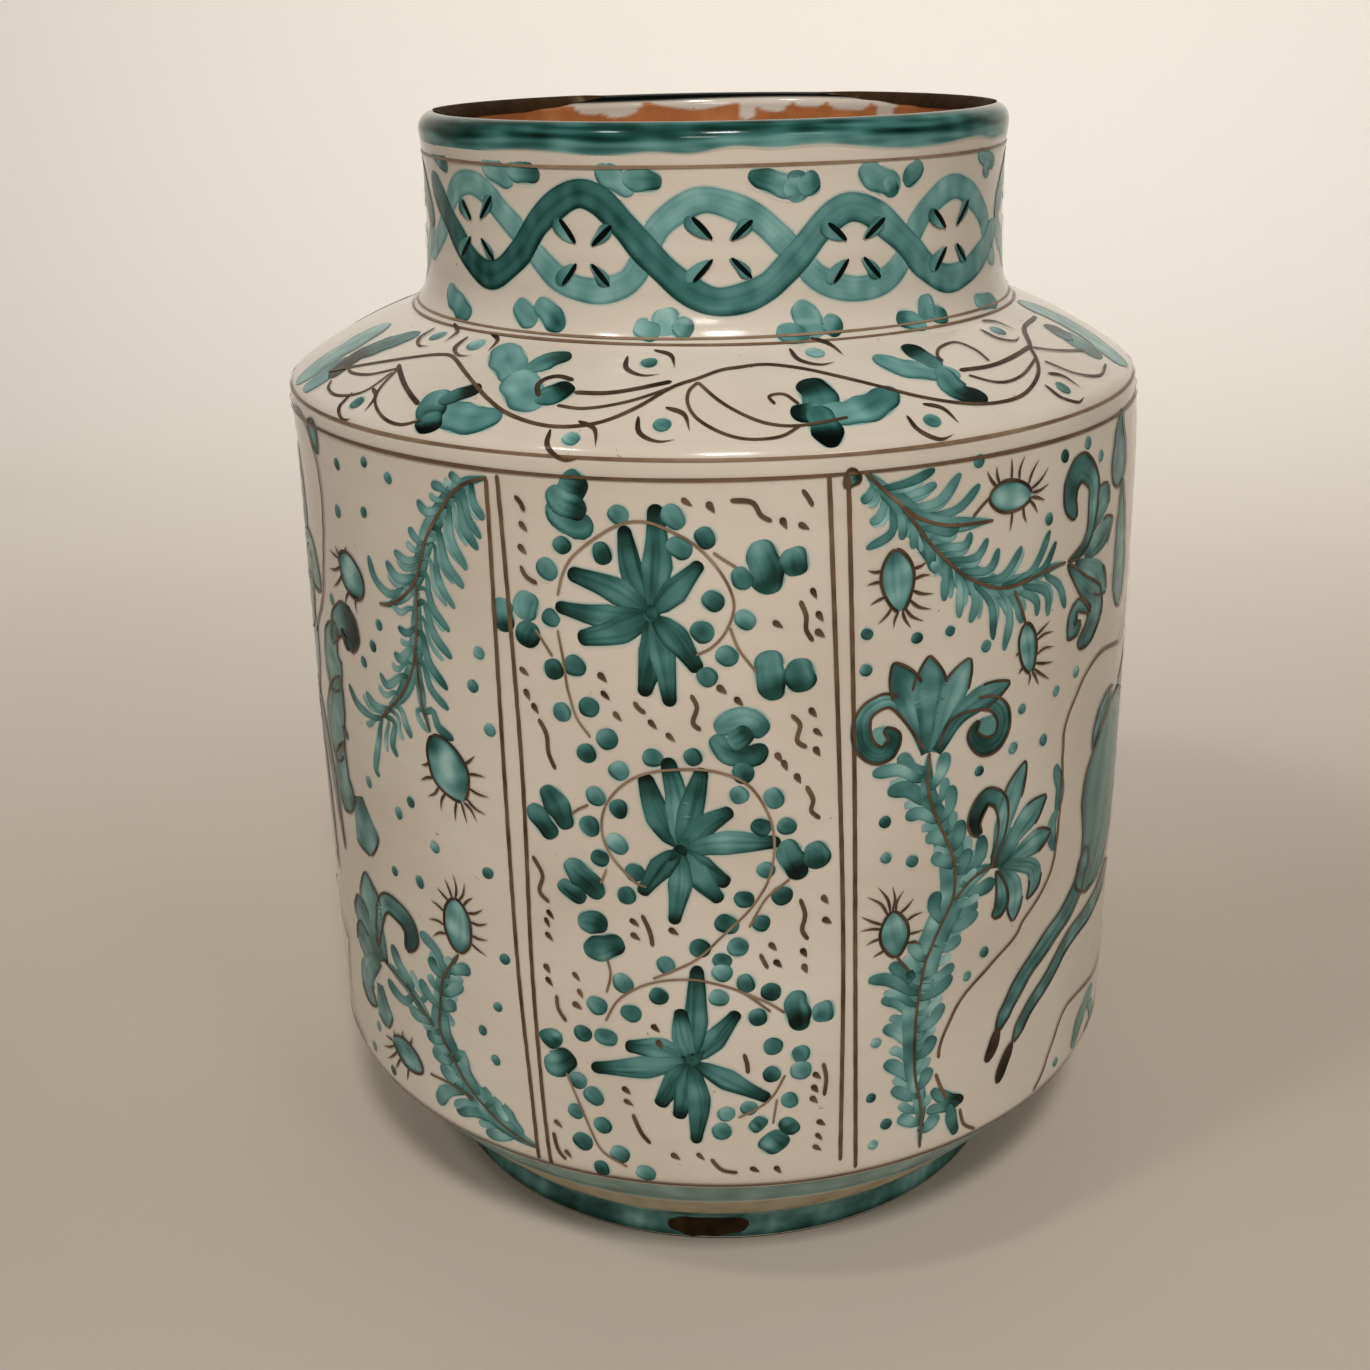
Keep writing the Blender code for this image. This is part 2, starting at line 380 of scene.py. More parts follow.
def on_chart(values):
    """Places on the UV map of values from 0 to 1."""
    return CHART_MARGIN + (1 - 2 * CHART_MARGIN) * values


class Layer:
    """Brush strokes that share one paint and become one piece of the visual model."""

    def __init__(self, name, paint, lift, slot="cream_glaze", halo=None, twice=False, step=STROKE_STEP):
        self.name = name
        self.paint = paint
        self.lift = lift
        self.step = step
        self.slot = slot
        self.halo = halo
        self.turns = (0.0, math.pi) if twice else (0.0,)
        self.points = []
        self.faces = []
        self.tone = []
        self.soft = []
        self.size = 0

    def lay(self, angle, way, tone, soft):
        """Adds a grid of places on the jar, rows along a stroke and columns across it."""
        rows, columns = angle.shape
        lift = self.lift + len(self.points) // len(self.turns) % LIFT_LEVELS * self.step
        for turn in self.turns:
            self.faces.append(quads(np.arange(rows * columns).reshape(rows, columns) + self.size))
            self.points.append(on_jar(angle + turn, way, lift).reshape(-1, 3))
            self.tone.append(np.clip(tone, 0, 1).ravel())
            self.soft.append(np.clip(soft, 0, 1).ravel())
            self.size += rows * columns

    def build(self):
        """Makes the piece of all strokes laid so far."""
        faces = np.concatenate(self.faces)
        tone = np.concatenate(self.tone)
        soft = np.concatenate(self.soft)
        piece = surface(self.name, np.concatenate(self.points), faces, self.paint)
        for title, values in (("tone", tone), ("soft", soft)):
            piece.data.attributes.new(title, "FLOAT", "POINT").data.foreach_set("value", values)
        chart = np.stack((on_chart(tone), on_chart(soft)), 1)[faces.ravel()]
        layer = piece.data.uv_layers.new(name="OFBake", do_init=False)
        layer.uv.foreach_set("vector", chart.astype(np.float32).ravel())
        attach(piece, "root")


def round_end(t, share):
    """Full width, and then a quarter round to none over the last share of the way."""
    return np.sqrt(np.clip(1 - np.clip((t - (1 - share)) / share, 0, 1) ** 2, 0, 1))


# Shapes of strokes: each gives the share of the full width at shares t of the way, for a stroke that is
# aspect times as long as it is wide


def even_width(t, aspect):
    """A line of even width with round ends."""
    return np.clip(np.minimum(t, 1 - t) * aspect * 1.6, 0, 1) ** 0.5


def ray_width(t, aspect):
    """Narrow at the start, fullest before the middle and drawn in to a round tip of half the width."""
    body = np.interp(t, (0, 0.15, 0.42, 0.88, 1), (0.3, 0.72, 1, 0.56, 0.5))
    return body * round_end(t, 0.08)


def petal_width(t, aspect):
    """Pointed at both ends and fullest before the middle."""
    return np.sin(math.pi * t**0.85) ** 0.8


def dab_width(t, aspect):
    """A loaded brush set down and drawn out: narrow at the start, full and round at the end."""
    return np.clip(t * 1.25, 0, 1) ** 0.6 * round_end(t, 0.38)


def drop_width(t, aspect):
    """Full and round at the start and drawn out to a point."""
    return round_end(1 - t, 0.3) * (1 - np.clip((t - 0.3) / 0.7, 0, 1) ** 1.6)


def leaf_width(t, aspect):
    """Broad at the base, fullest two thirds of the way and drawn in to a blunt point."""
    return np.minimum(0.45 + 0.85 * t, 1) * (1 - np.clip((t - 0.66) / 0.34, 0, 1) ** 1.9) ** 0.9


def comb_width(t, aspect):
    """Half full where it leaves the rib, with a round end."""
    return np.minimum(0.55 + 0.7 * t, 1) * round_end(t, 0.25)


def bud_width(t, aspect):
    """Round at the base and drawn in a little at the tip."""
    return np.sin(math.pi * t**0.95) ** 0.55


def limb_width(t, aspect):
    """Narrows evenly along its way to a little over half, with round ends."""
    return (1 - 0.45 * t) * even_width(t, aspect)


def lobe_width(t, aspect):
    """A fat lobe with blunt round ends."""
    return np.clip(1 - np.abs(2 * t - 1) ** 2.8, 0, 1) ** 0.45


def round_width(t, aspect):
    """A full round."""
    return np.sqrt(np.clip(1 - (2 * t - 1) ** 2, 0, 1))


# Points along a stroke are this far apart, and so many stand across one narrower than a width in mm
ROW_STEPS = (0.45 * MM, 0.7 * MM)
COLUMNS = ((1.8, 5), (3, 7), (5, 13), (math.inf, 17))
# How a stroke's width wavers and its sides swell along its way
WAVER = 0.04
WAVER_PER_MM = 0.45
SWELL_PER_MM = 0.9
# Where in a stroke the colour gathers: in its last half, along its lower rim and in patches and spots
POOL_START = 0.45
POOL_RISE = 3
LOWER_SIDE = (0.85, 0.5)
STROKE_PATCH = 4 * MM
BLOT_OFF = 0.35
BLOT_SPREAD = 0.3
STREAK_COUNT = 3
STREAK_WIDTH = 0.14
# The soft rim round a green stroke: its width, colour, softness, and its columns from under the stroke out
HALO_WIDTH = 0.9 * MM
HALO_TONE = 0.24
HALO_SOFT = 0.15
HALO_ACROSS = np.linspace(-0.4, 1, 5)


def stroke(
    layer, path, width_mm, shape=even_width, tone=(0.5, 0.5),
    edge=0.0, uneven=0.12, pool=0.0, streaks=0.0, blot=0.0, ragged=0.0,
):
    """Lays one brush stroke along path and returns its two edges as paths.

    Tone runs from its start to its end, edge is how much colour settled along its lower rim, pool darkens
    its last half, streaks is the depth of the lines that the hairs of the brush left along it, blot is the
    depth of one soft spot where the colour gathered, and ragged is how far its sides swell and shrink.
    """
    width = width_mm * MM
    curve, t, length = smooth(path, np.clip(width / 4, *ROW_STEPS))
    radius = np.interp(curve[:, 1], WAY, OUTSIDE[:, 0])
    way = np.gradient(curve * (radius.mean(), 1.0), t, axis=0)
    way /= np.maximum(np.hypot(*way.T), 1e-9)[:, None]
    waver = 1 + WAVER * np.sin(t * length / MM * WAVER_PER_MM + rng.uniform(0, 6))
    half = (shape(t, length / width) * waver * width / 2)[:, None]

    def beside(shift):
        return curve[:, :1] - way[:, 1:] * shift / radius[:, None], curve[:, 1:] + way[:, :1] * shift

    columns = next(count for most_mm, count in COLUMNS if width_mm < most_mm)
    x = np.linspace(-1, 1, columns)
    swell = np.sin(t[:, None] * length / MM * SWELL_PER_MM + np.where(x > 0, *rng.uniform(0, 6, 2)))
    angle, up = beside(half * x * (1 + ragged * swell))
    shade = np.interp(t, np.linspace(0, 1, len(tone)), tone)
    shade = shade + pool * np.clip((t - POOL_START) * POOL_RISE, 0, 1)
    low = -np.sign(LOWER_SIDE[0] * way[:, :1] + LOWER_SIDE[1] * way[:, 1:])
    lower_rim = np.clip((low * x - 0.55) / 0.45, 0, 1) ** 1.5
    upper_rim = np.clip((-low * x - 0.7) / 0.3, 0, 1) ** 2
    patchy = uneven * mottle(angle + rng.uniform(0, 9), up, STROKE_PATCH)
    shade = shade[:, None] + edge * (lower_rim + 0.4 * upper_rim) + patchy
    off_x, off_t = rng.uniform(-BLOT_OFF, BLOT_OFF, 2)
    shade = shade + blot * np.exp(-((x - off_x) ** 2 + (2 * t[:, None] - 1 - off_t) ** 2) / BLOT_SPREAD)
    for at in rng.uniform(-0.9, 0.9, STREAK_COUNT) if streaks else ():
        bent = at + 0.2 * np.sin(2.5 * t + rng.uniform(0, 6))[:, None]
        line = np.exp(-(((x - bent) / STREAK_WIDTH) ** 2)) * np.sin(math.pi * t)[:, None]
        shade = shade + streaks * rng.uniform(0.4, 1) * line
    layer.lay(angle, up, shade, np.zeros_like(shade))
    if layer.halo:
        rim = HALO_WIDTH * np.clip(half / (0.4 * MM), 0, 1)
        for side in (-1, 1):
            angle, up = beside(side * np.maximum(half + rim * HALO_ACROSS, 0))
            out = np.clip(HALO_ACROSS, 0, 1) + np.zeros_like(angle)
            layer.halo.lay(angle, up, HALO_TONE * (1 - out), HALO_SOFT + (1 - HALO_SOFT) * out**0.6)
    return [np.concatenate(beside(side * half), 1) for side in (-1, 1)]


# Points along and across a filled ground, and the patches in its wash
FILL_ROWS = 91
FILL_COLUMNS = 41
FILL_PATCH = 14 * MM


def fill(layer, first, second, tone):
    """Fills the ground between two paths that run the same way, in one wash that settled along its rim."""
    share = np.linspace(0, 1, FILL_ROWS)
    sides = []
    for path in (first, second):
        curve, t, _ = smooth(path, 0.5 * MM)
        sides.append(np.stack([np.interp(share, t, curve[:, k]) for k in (0, 1)], 1))
    t = np.linspace(0, 1, FILL_COLUMNS)
    grid = sides[0][:, None, :] * (1 - t)[:, None] + sides[1][:, None, :] * t[:, None]
    angle, up = grid[..., 0], grid[..., 1]
    shade = tone[0] + (tone[1] - tone[0]) * share[:, None] + 0.05 * np.sin(t * 24 + 4 * share[:, None])
    shade = shade + 0.2 * np.abs(2 * t - 1) ** 8 + 0.06 * mottle(angle, up, FILL_PATCH)
    layer.lay(angle, up, shade, np.zeros_like(shade))


# Points round and across a line drawn on the wheel, and how far it wavers up and down
RING_ROWS = 541
RING_COLUMNS = 5
RING_WAVER = 0.15 * MM


def ring(layer, at, width_mm, tone):
    """A line drawn right round the jar on the turning wheel."""
    angle = np.linspace(-math.pi, math.pi, RING_ROWS)[:, None] * np.ones(RING_COLUMNS)
    phase = rng.uniform(0, 6)
    way = at + RING_WAVER * (np.sin(2 * angle + phase) + 0.5 * np.sin(5 * angle + 2 * phase))
    width = width_mm * MM * (1 + 0.2 * np.sin(7 * angle + phase) * np.sin(3 * angle))
    up = way + np.linspace(-0.5, 0.5, RING_COLUMNS) * width
    shade = tone + 0.08 * mottle(angle, up, 12 * MM) + 0.04 * mottle(angle, up, 2 * MM)
    layer.lay(angle, up, shade, np.zeros_like(shade))


def srgb(red, green, blue):
    """A colour as it looks on screen, 0 to 255, as the linear colour that a shader takes."""
    parts = (np.array((red, green, blue)) / 255 + 0.055) / 1.055
    return (*(parts**2.4), 1.0)


def node(tree, kind, **settings):
    """A new shader node with these settings."""
    made = tree.nodes.new(kind)
    for key, value in settings.items():
        setattr(made, key, value)
    return made


def ramp(tree, value, stops):
    """A colour ramp over value; stops are (position, colour) rows."""
    made = node(tree, "ShaderNodeValToRGB")
    elements = made.color_ramp.elements
    while len(elements) < len(stops):
        elements.new(0.5)
    for element, (position, colour) in zip(elements, stops):
        element.position = position
        element.color = colour
    tree.links.new(value, made.inputs["Fac"])
    return made.outputs["Color"]


def noise(tree, scale, detail=3.0, roughness=0.5):
    """Noise over the jar's own space, in patches of about 1/scale metres."""
    place = node(tree, "ShaderNodeTexCoord")
    made = node(tree, "ShaderNodeTexNoise")
    made.inputs["Scale"].default_value = scale
    made.inputs["Detail"].default_value = detail
    made.inputs["Roughness"].default_value = roughness
    tree.links.new(place.outputs["Object"], made.inputs["Vector"])
    return made.outputs["Fac"]


def mixed(tree, factor, first, second):
    """A colour between two others; each of the three values is a number, a colour or a socket."""
    made = node(tree, "ShaderNodeMix", data_type="RGBA")
    open_inputs = [i for i in made.inputs if i.enabled and i.type in ("VALUE", "RGBA")]
    for socket, value in (("Factor", factor), ("A", first), ("B", second)):
        target = next(i for i in open_inputs if i.name == socket)
        if isinstance(value, (int, float, tuple)):
            target.default_value = value
        else:
            tree.links.new(value, target)
    return next(o for o in made.outputs if o.enabled)


# Colours, each with its place on a ramp
GLAZE_STOPS = ((0.3, srgb(196, 183, 167)), (0.5, srgb(206, 194, 179)), (0.72, srgb(212, 202, 188)))
SPECK_STOPS = ((0.0, (0, 0, 0, 1)), (0.735, (0, 0, 0, 1)), (0.79, (1, 1, 1, 1)))
SPECK_COLOUR = srgb(150, 124, 98)
CLAY_STOPS = ((0.3, srgb(150, 88, 48)), (0.5, srgb(172, 104, 58)), (0.7, srgb(188, 122, 74)))
GREEN_STOPS = (
    (0.0, srgb(150, 184, 178)),
    (0.2, srgb(102, 147, 142)),
    (0.42, srgb(60, 106, 101)),
    (0.62, srgb(27, 66, 59)),
    (0.82, srgb(7, 30, 23)),
    (1.0, srgb(2, 9, 6)),
)
BROWN_STOPS = (
    (0.0, srgb(150, 127, 104)),
    (0.35, srgb(110, 87, 66)),
    (0.7, srgb(70, 53, 39)),
    (1.0, srgb(30, 23, 18)),
)
# Browns of bare clay and of the tan wash; their dark end is also the painted shade inside the lip
CLAY_AND_SHADE_STOPS = (
    (0.0, srgb(178, 168, 144)),
    (0.3, srgb(142, 126, 100)),
    (0.6, srgb(62, 44, 26)),
    (1.0, srgb(30, 21, 12)),
)
# Grain of the noise in clouds, specks, clay and ripples, as patches in a metre
CLOUD_GRAIN = 16
SPECK_GRAIN = 420
CLAY_GRAIN = 60
RIPPLE_GRAIN = 150
GLAZE_ROUGHNESS = 0.16
CLAY_ROUGHNESS = 0.85


def glaze_colour(tree):
    """Warm white tin glaze: cloudy, a little greyer in places, with fine brown specks."""
    clouds = ramp(tree, noise(tree, CLOUD_GRAIN, 4), GLAZE_STOPS)
    specks = ramp(tree, noise(tree, SPECK_GRAIN, 2, 0.6), SPECK_STOPS)
    return mixed(tree, specks, clouds, SPECK_COLOUR)


def glossy(name, roughness, coat, shine=0.28):
    """A fired glaze: smooth, with the faint ripple that breaks up its highlights."""
    material = bpy.data.materials.new(name)
    material.use_nodes = True
    tree = material.node_tree
    shader = tree.nodes["Principled BSDF"]
    shader.inputs["Roughness"].default_value = roughness
    shader.inputs["IOR"].default_value = 1.45
    shader.inputs["Specular IOR Level"].default_value = shine
    shader.inputs["Coat Weight"].default_value = coat
    shader.inputs["Coat Roughness"].default_value = 0.06
    ripple = node(tree, "ShaderNodeBump")
    ripple.inputs["Strength"].default_value = 0.12
    ripple.inputs["Distance"].default_value = 0.4 * MM
    tree.links.new(noise(tree, RIPPLE_GRAIN, 3), ripple.inputs["Height"])
    tree.links.new(ripple.outputs["Normal"], shader.inputs["Normal"])
    return material, tree, shader


def painted(name, stops, roughness=0.2, coat=0.1, shine=0.28):
    """A brush colour under the glaze: its tone goes from thin to pooled, and soft rims fade out."""
    material, tree, shader = glossy(name, roughness, coat, shine)
    tone = node(tree, "ShaderNodeAttribute", attribute_name="tone")
    soft = node(tree, "ShaderNodeAttribute", attribute_name="soft")
    colour = ramp(tree, tone.outputs["Fac"], stops)
    blended = mixed(tree, soft.outputs["Fac"], colour, glaze_colour(tree))
    tree.links.new(blended, shader.inputs["Base Color"])
    return material


COPPER_GREEN = painted("copper_green", GREEN_STOPS, coat=0.04, shine=0.16)
LIP_GREEN = painted("lip_green", GREEN_STOPS, roughness=0.12, coat=0.0, shine=0.16)
MANGANESE = painted("manganese_brown", BROWN_STOPS, coat=0.0, shine=0.1)
# This paint serves the worn foot, the tan ground and the painted shade inside the lip
CLAY_AND_PAINTED_SHADE = painted("bare_clay", CLAY_AND_SHADE_STOPS, roughness=0.9, coat=0.0, shine=0.05)


def jar_material():
    """Tin glaze outside, and bare orange clay inside with the glaze that ran over the lip."""
    material, tree, shader = glossy("tin_glaze", GLAZE_ROUGHNESS, coat=0.12)
    bare = node(tree, "ShaderNodeAttribute", attribute_name="bare")
    clay = ramp(tree, noise(tree, CLAY_GRAIN, 5, 0.65), CLAY_STOPS)
    tree.links.new(mixed(tree, bare.outputs["Fac"], glaze_colour(tree), clay), shader.inputs["Base Color"])
    rough = node(tree, "ShaderNodeMapRange")
    rough.inputs["To Min"].default_value = GLAZE_ROUGHNESS
    rough.inputs["To Max"].default_value = CLAY_ROUGHNESS
    tree.links.new(bare.outputs["Fac"], rough.inputs["Value"])
    tree.links.new(rough.outputs["Result"], shader.inputs["Roughness"])
    return material


# How far glaze ran down inside the lip: angle from the front in degrees, half width and length in mm
GLAZE_RUNS = (
    (133, 4, 6.5),
    (144, 8, 4.2),
    (155, 6, 3.2),
    (165, 6, 4.6),
    (171, 3, 7.0),
    (184, 14, 3.4),
    (203, 7, 5.4),
    (211, 6, 4.2),
    (100, 12, 3.0),
    (60, 14, 4.0),
    (300, 12, 4.5),
    (20, 10, 5.0),
    (340, 9, 4.0),
)
RUN_EDGE = 0.7 * MM


def run_length(angle):
    """Length of the glaze inside the lip at an angle, in metres."""
    inner_mm = (NECK_WAIST_R - NECK_THICKNESS) / MM
    length = np.full_like(angle, 1.2) + 0.4 * np.sin(5 * angle + 1) + 0.3 * np.sin(13 * angle)
    for at, half, most in GLAZE_RUNS:
        away = np.abs((angle - math.radians(at) + math.pi) % (2 * math.pi) - math.pi) * inner_mm
        length = np.maximum(length, most * np.exp(-((away / half) ** 4)))
    return (length + 0.4 * np.sin(23 * angle) * np.sin(9 * angle + 1)) * MM


def make_jar():
    """The whole clay body in one skin: underside, outside, lip and inside."""
    under = under_outline()
    outline = np.concatenate((under, OUTSIDE, inside_outline(OUTSIDE[-1])))
    first, inner = len(under), len(under) + len(OUTSIDE) - LIP_ROWS
    way = np.concatenate(((0.0,), np.cumsum(np.hypot(*np.diff(outline, axis=0).T))))
    angle = np.linspace(-math.pi, math.pi, AROUND, endpoint=False) * np.ones((len(outline), 1))
    z = outline[:, 1:] * np.ones(AROUND)
    radius = outline[:, :1] + wobble(angle, z) * (outline[:, :1] > 0)
    points = np.stack((radius * np.sin(angle), -radius * np.cos(angle), z), -1)
    past_runs = way[:, None] - way[first + CREST] - LIP_TURN - run_length(angle)
    bare = np.zeros_like(angle)
    bare[inner:] = np.clip(past_runs[inner:] / RUN_EDGE + 0.5, 0, 1)
    bare[:first] = 1.0
    index = np.arange(angle.size).reshape(angle.shape)
    closed = np.concatenate((index, index[:, :1]), 1)
    jar = surface("jar_body", points.reshape(-1, 3), quads(closed), jar_material())
    jar.data.attributes.new("bare", "FLOAT", "POINT").data.foreach_set("value", bare.ravel())
    weld = jar.modifiers.new("close_middle", "WELD")
    weld.merge_threshold = 0.01 * MM
    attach(jar, "root")
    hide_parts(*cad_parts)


make_jar()

# Points round a painted band, and the angle over which its patches fade where it closes at the back
BAND_ROWS = 721
BACK_FADE = 0.2


def band(name, paint, lift, slot, low, high, tone, soft_low_mm=0.0, soft_high_mm=0.0, columns=14):
    """A painted band right round the jar between two ways up it, each given for every angle."""
    layer = Layer(name, paint, lift, slot)
    angle = np.linspace(-math.pi, math.pi, BAND_ROWS)
    t = np.linspace(0, 1, columns)
    up = low(angle)[:, None] + (high(angle) - low(angle))[:, None] * t
    grid = angle[:, None] * np.ones(columns)
    soft = np.zeros_like(grid)
    if soft_low_mm:
        soft = np.maximum(soft, 1 - (up - up[:, :1]) / MM / soft_low_mm)
    if soft_high_mm:
        soft = np.maximum(soft, 1 - (up[:, -1:] - up) / MM / soft_high_mm)
    layer.lay(grid, up, tone(grid, t * np.ones_like(grid), up), soft)
    layer.build()


def patches(angle, up, stretch, size):
    """Mottle drawn out along the rings of the jar, which fades where the ring closes at the back."""
    return mottle(angle * stretch, up, size) * np.clip((math.pi - np.abs(angle)) / BACK_FADE, 0, 1)


# Heights in the view, straight in front, of the edges of green lip, wash, tan ground and green foot
FRONT_X = 690
RIM_LOW_Y = 155
WASH_TOP_Y = 1186
TAN_TOP_Y = 1196
WASH_LOW_Y = 1202
FOOT_TOP_Y = 1212
TAN_LOW_Y = 1216
WORN_FOOT = ((668, 1222), (709, 1225), (749, 1222))
# Where painted shade darkens the inside of the lip, from one angle to another in degrees, and how far past
# its crest
LIP_SHADES = ((206, 288), (72, 154))
LIP_SHADE_PAST = 1.8 * MM


def way_at(y):
    """Way up the jar of the point seen at this height of the view, straight in front."""
    return px(((FRONT_X, y),))[0, 1]


def level(way):
    """The same way up at every angle."""
    return lambda angle: np.full_like(angle, way)


def rim_low(angle):
    """Way up at which the green of the lip begins, along an uneven edge."""
    waves = 0.7 * np.sin(3 * angle + 1) + 0.5 * np.sin(8 * angle)
    drips = 0.4 * np.sin(17 * angle + 2 * np.sin(5 * angle))
    return way_at(RIM_LOW_Y) + (waves + drips) * MM


def lip_inner(angle):
    """Way up to which the green reaches over the lip."""
    return WAY[CREST] + (4.0 + 0.4 * np.sin(4 * angle)) * MM


def foot_high(angle):
    """Way up at which the green of the foot ends."""
    return way_at(FOOT_TOP_Y) + (0.5 * np.sin(4 * angle) + 0.3 * np.sin(11 * angle + 1)) * MM


def wash_low(angle):
    """Way up at which the thin wash begins."""
    return way_at(WASH_LOW_Y) + (0.8 * np.sin(3 * angle + 2) + 0.6 * np.sin(9 * angle)) * MM


def rim_tone(angle, share, up):
    """Thin wash low on the lip, fuller and streaked above it, and painted shade: near black inside at the
    back, dark past the crest at both sides.
    """
    far = np.clip(0.3 - 1.2 * np.cos(angle), 0, 1)
    side = np.clip((np.abs(np.sin(angle)) - 0.8) / 0.12, 0, 1)
    over = np.clip((up - WAY[CREST] + 0.5 * MM) / (1.5 * MM), 0, 1)
    over_side = np.clip((up - WAY[CREST] + 1.6 * MM) / (0.9 * MM), 0, 1)
    tone = 0.3 + 0.24 * np.clip((share - 0.2) * 8, 0, 1) + 0.12 * np.exp(-(((share - 0.3) / 0.05) ** 2))
    # Painted shade: near black past the crest at the back and at both sides, where the lip lies in shadow.
    # The lip is also a little darker on its left half.
    tone = tone + 0.6 * np.maximum(far * over, side * over_side) + 0.12 * np.clip(-np.sin(angle), 0, 1)
    return tone + 0.12 * patches(angle, up, 0.07, 1.2 * MM) + 0.07 * patches(angle, up, 0.8, 6 * MM)


def foot_tone(angle, share, up):
    """Green on the foot, darker towards the floor and in patches."""
    tone = 0.38 - 0.16 * share + 0.4 * np.clip(0.2 - share, 0, 1) * 5
    return tone + 0.14 * patches(angle, up, 0.6, 7 * MM) + 0.06 * patches(angle, up, 1.0, 2.5 * MM)


def wash_tone(angle, share, up):
    """Thin green in soft patches."""
    return 0.26 + 0.1 * patches(angle, up, 1.4, 8 * MM)


def tan_tone(angle, share, up):
    """Thin tan in soft patches."""
    return 0.05 + 0.08 * patches(angle, up, 1.4, 7 * MM)


def rim_and_foot():
    """The green lip, thin wash under the body's lower edge, green foot worn in front, and painted shade in
    the lip.
    """
    band("rim_band", LIP_GREEN, GREEN_LIFT, "rim_green", rim_low, lip_inner, rim_tone, 0.8, 0.5, columns=34)
    foot_low = level(WAY[2])
    band("foot_band", COPPER_GREEN, GREEN_LIFT, "foot_green", foot_low, foot_high, foot_tone, 0.0, 0.9)
    wash_high = level(way_at(WASH_TOP_Y))
    band("base_wash", COPPER_GREEN, GREEN_LIFT, "base_wash", wash_low, wash_high, wash_tone, 2.0, 0.6)
    worn = Layer("worn_foot", CLAY_AND_PAINTED_SHADE, BROWN_LIFT, "bare_clay")
    stroke(worn, px(WORN_FOOT), 7.6, lobe_width, (0.7, 0.85, 0.75), ragged=0.08)
    worn.build()
    tan_low, tan_high = level(way_at(TAN_LOW_Y)), level(way_at(TAN_TOP_Y))
    band("base_tan", CLAY_AND_PAINTED_SHADE, HALO_LIFT, "base_wash", tan_low, tan_high, tan_tone, 1.0, 2.0)
    # Painted shade: dark brown strokes over the inside of the lip at both sides, where it lies in shadow
    shade = Layer("lip_painted_shade", CLAY_AND_PAINTED_SHADE, BROWN_LIFT, "rim_green")
    for start, end in LIP_SHADES:
        angle = np.radians(np.linspace(start, end, 7))
        path = np.stack((angle, np.full_like(angle, WAY[CREST] + LIP_SHADE_PAST)), 1)
        stroke(shade, path, 7.6, petal_width, (0.6, 0.8, 0.6), uneven=0.08)
    shade.build()


rim_and_foot()

# Lines drawn on the wheel: height in the view, width in mm and tone
WHEEL_LINES = (
    (167, 0.7, 0.15),
    (339, 0.6, 0.15),
    (346, 0.7, 0.3),
    (460, 0.75, 0.25),
    (480, 0.85, 0.45),
    (1184, 0.9, 0.4),
)


def wheel_lines():
    """The thin brown lines at lip, neck, shoulder and base."""
    brown = Layer("wheel_lines", MANGANESE, BROWN_LIFT, "cream_glaze")
    for y, width_mm, tone in WHEEL_LINES:
        ring(brown, way_at(y), width_mm, tone)
    brown.build()


wheel_lines()

# The two strands of the knotwork round the neck, from left to right of the view
DARK_STRAND = (
    (432, 173), (447, 212), (471, 258), (493, 275), (519, 254), (540, 220), (571, 195), (597, 199),
    (623, 225), (651, 257), (684, 287), (712, 301), (740, 299), (767, 287), (785, 270), (802, 251),
    (822, 226), (841, 210), (857, 207), (875, 214), (893, 230), (910, 247), (923, 264), (944, 278),
    (965, 272), (983, 250), (994, 221),
)
LIGHT_STRAND = (
    (432, 255), (443, 229), (454, 192), (467, 182), (484, 190), (501, 211), (521, 234), (540, 259),
    (562, 281), (592, 291), (623, 285), (640, 266), (657, 229), (684, 207), (707, 200), (737, 208),
    (760, 220), (783, 241), (802, 262), (822, 280), (854, 289), (882, 282), (900, 264), (912, 234),
    (928, 207), (951, 187), (969, 193), (983, 216), (987, 243), (994, 262),
)
KNOT_EYES = ((476, 228), (582, 254), (720, 249), (853, 248), (949, 236))
DARK_TONE = (0.5, 0.54, 0.5, 0.38, 0.28, 0.3, 0.2)
SPRIG_MM = 7
# Bends of each strand on the far side, which the view doesn't show
FAR_BENDS = 7
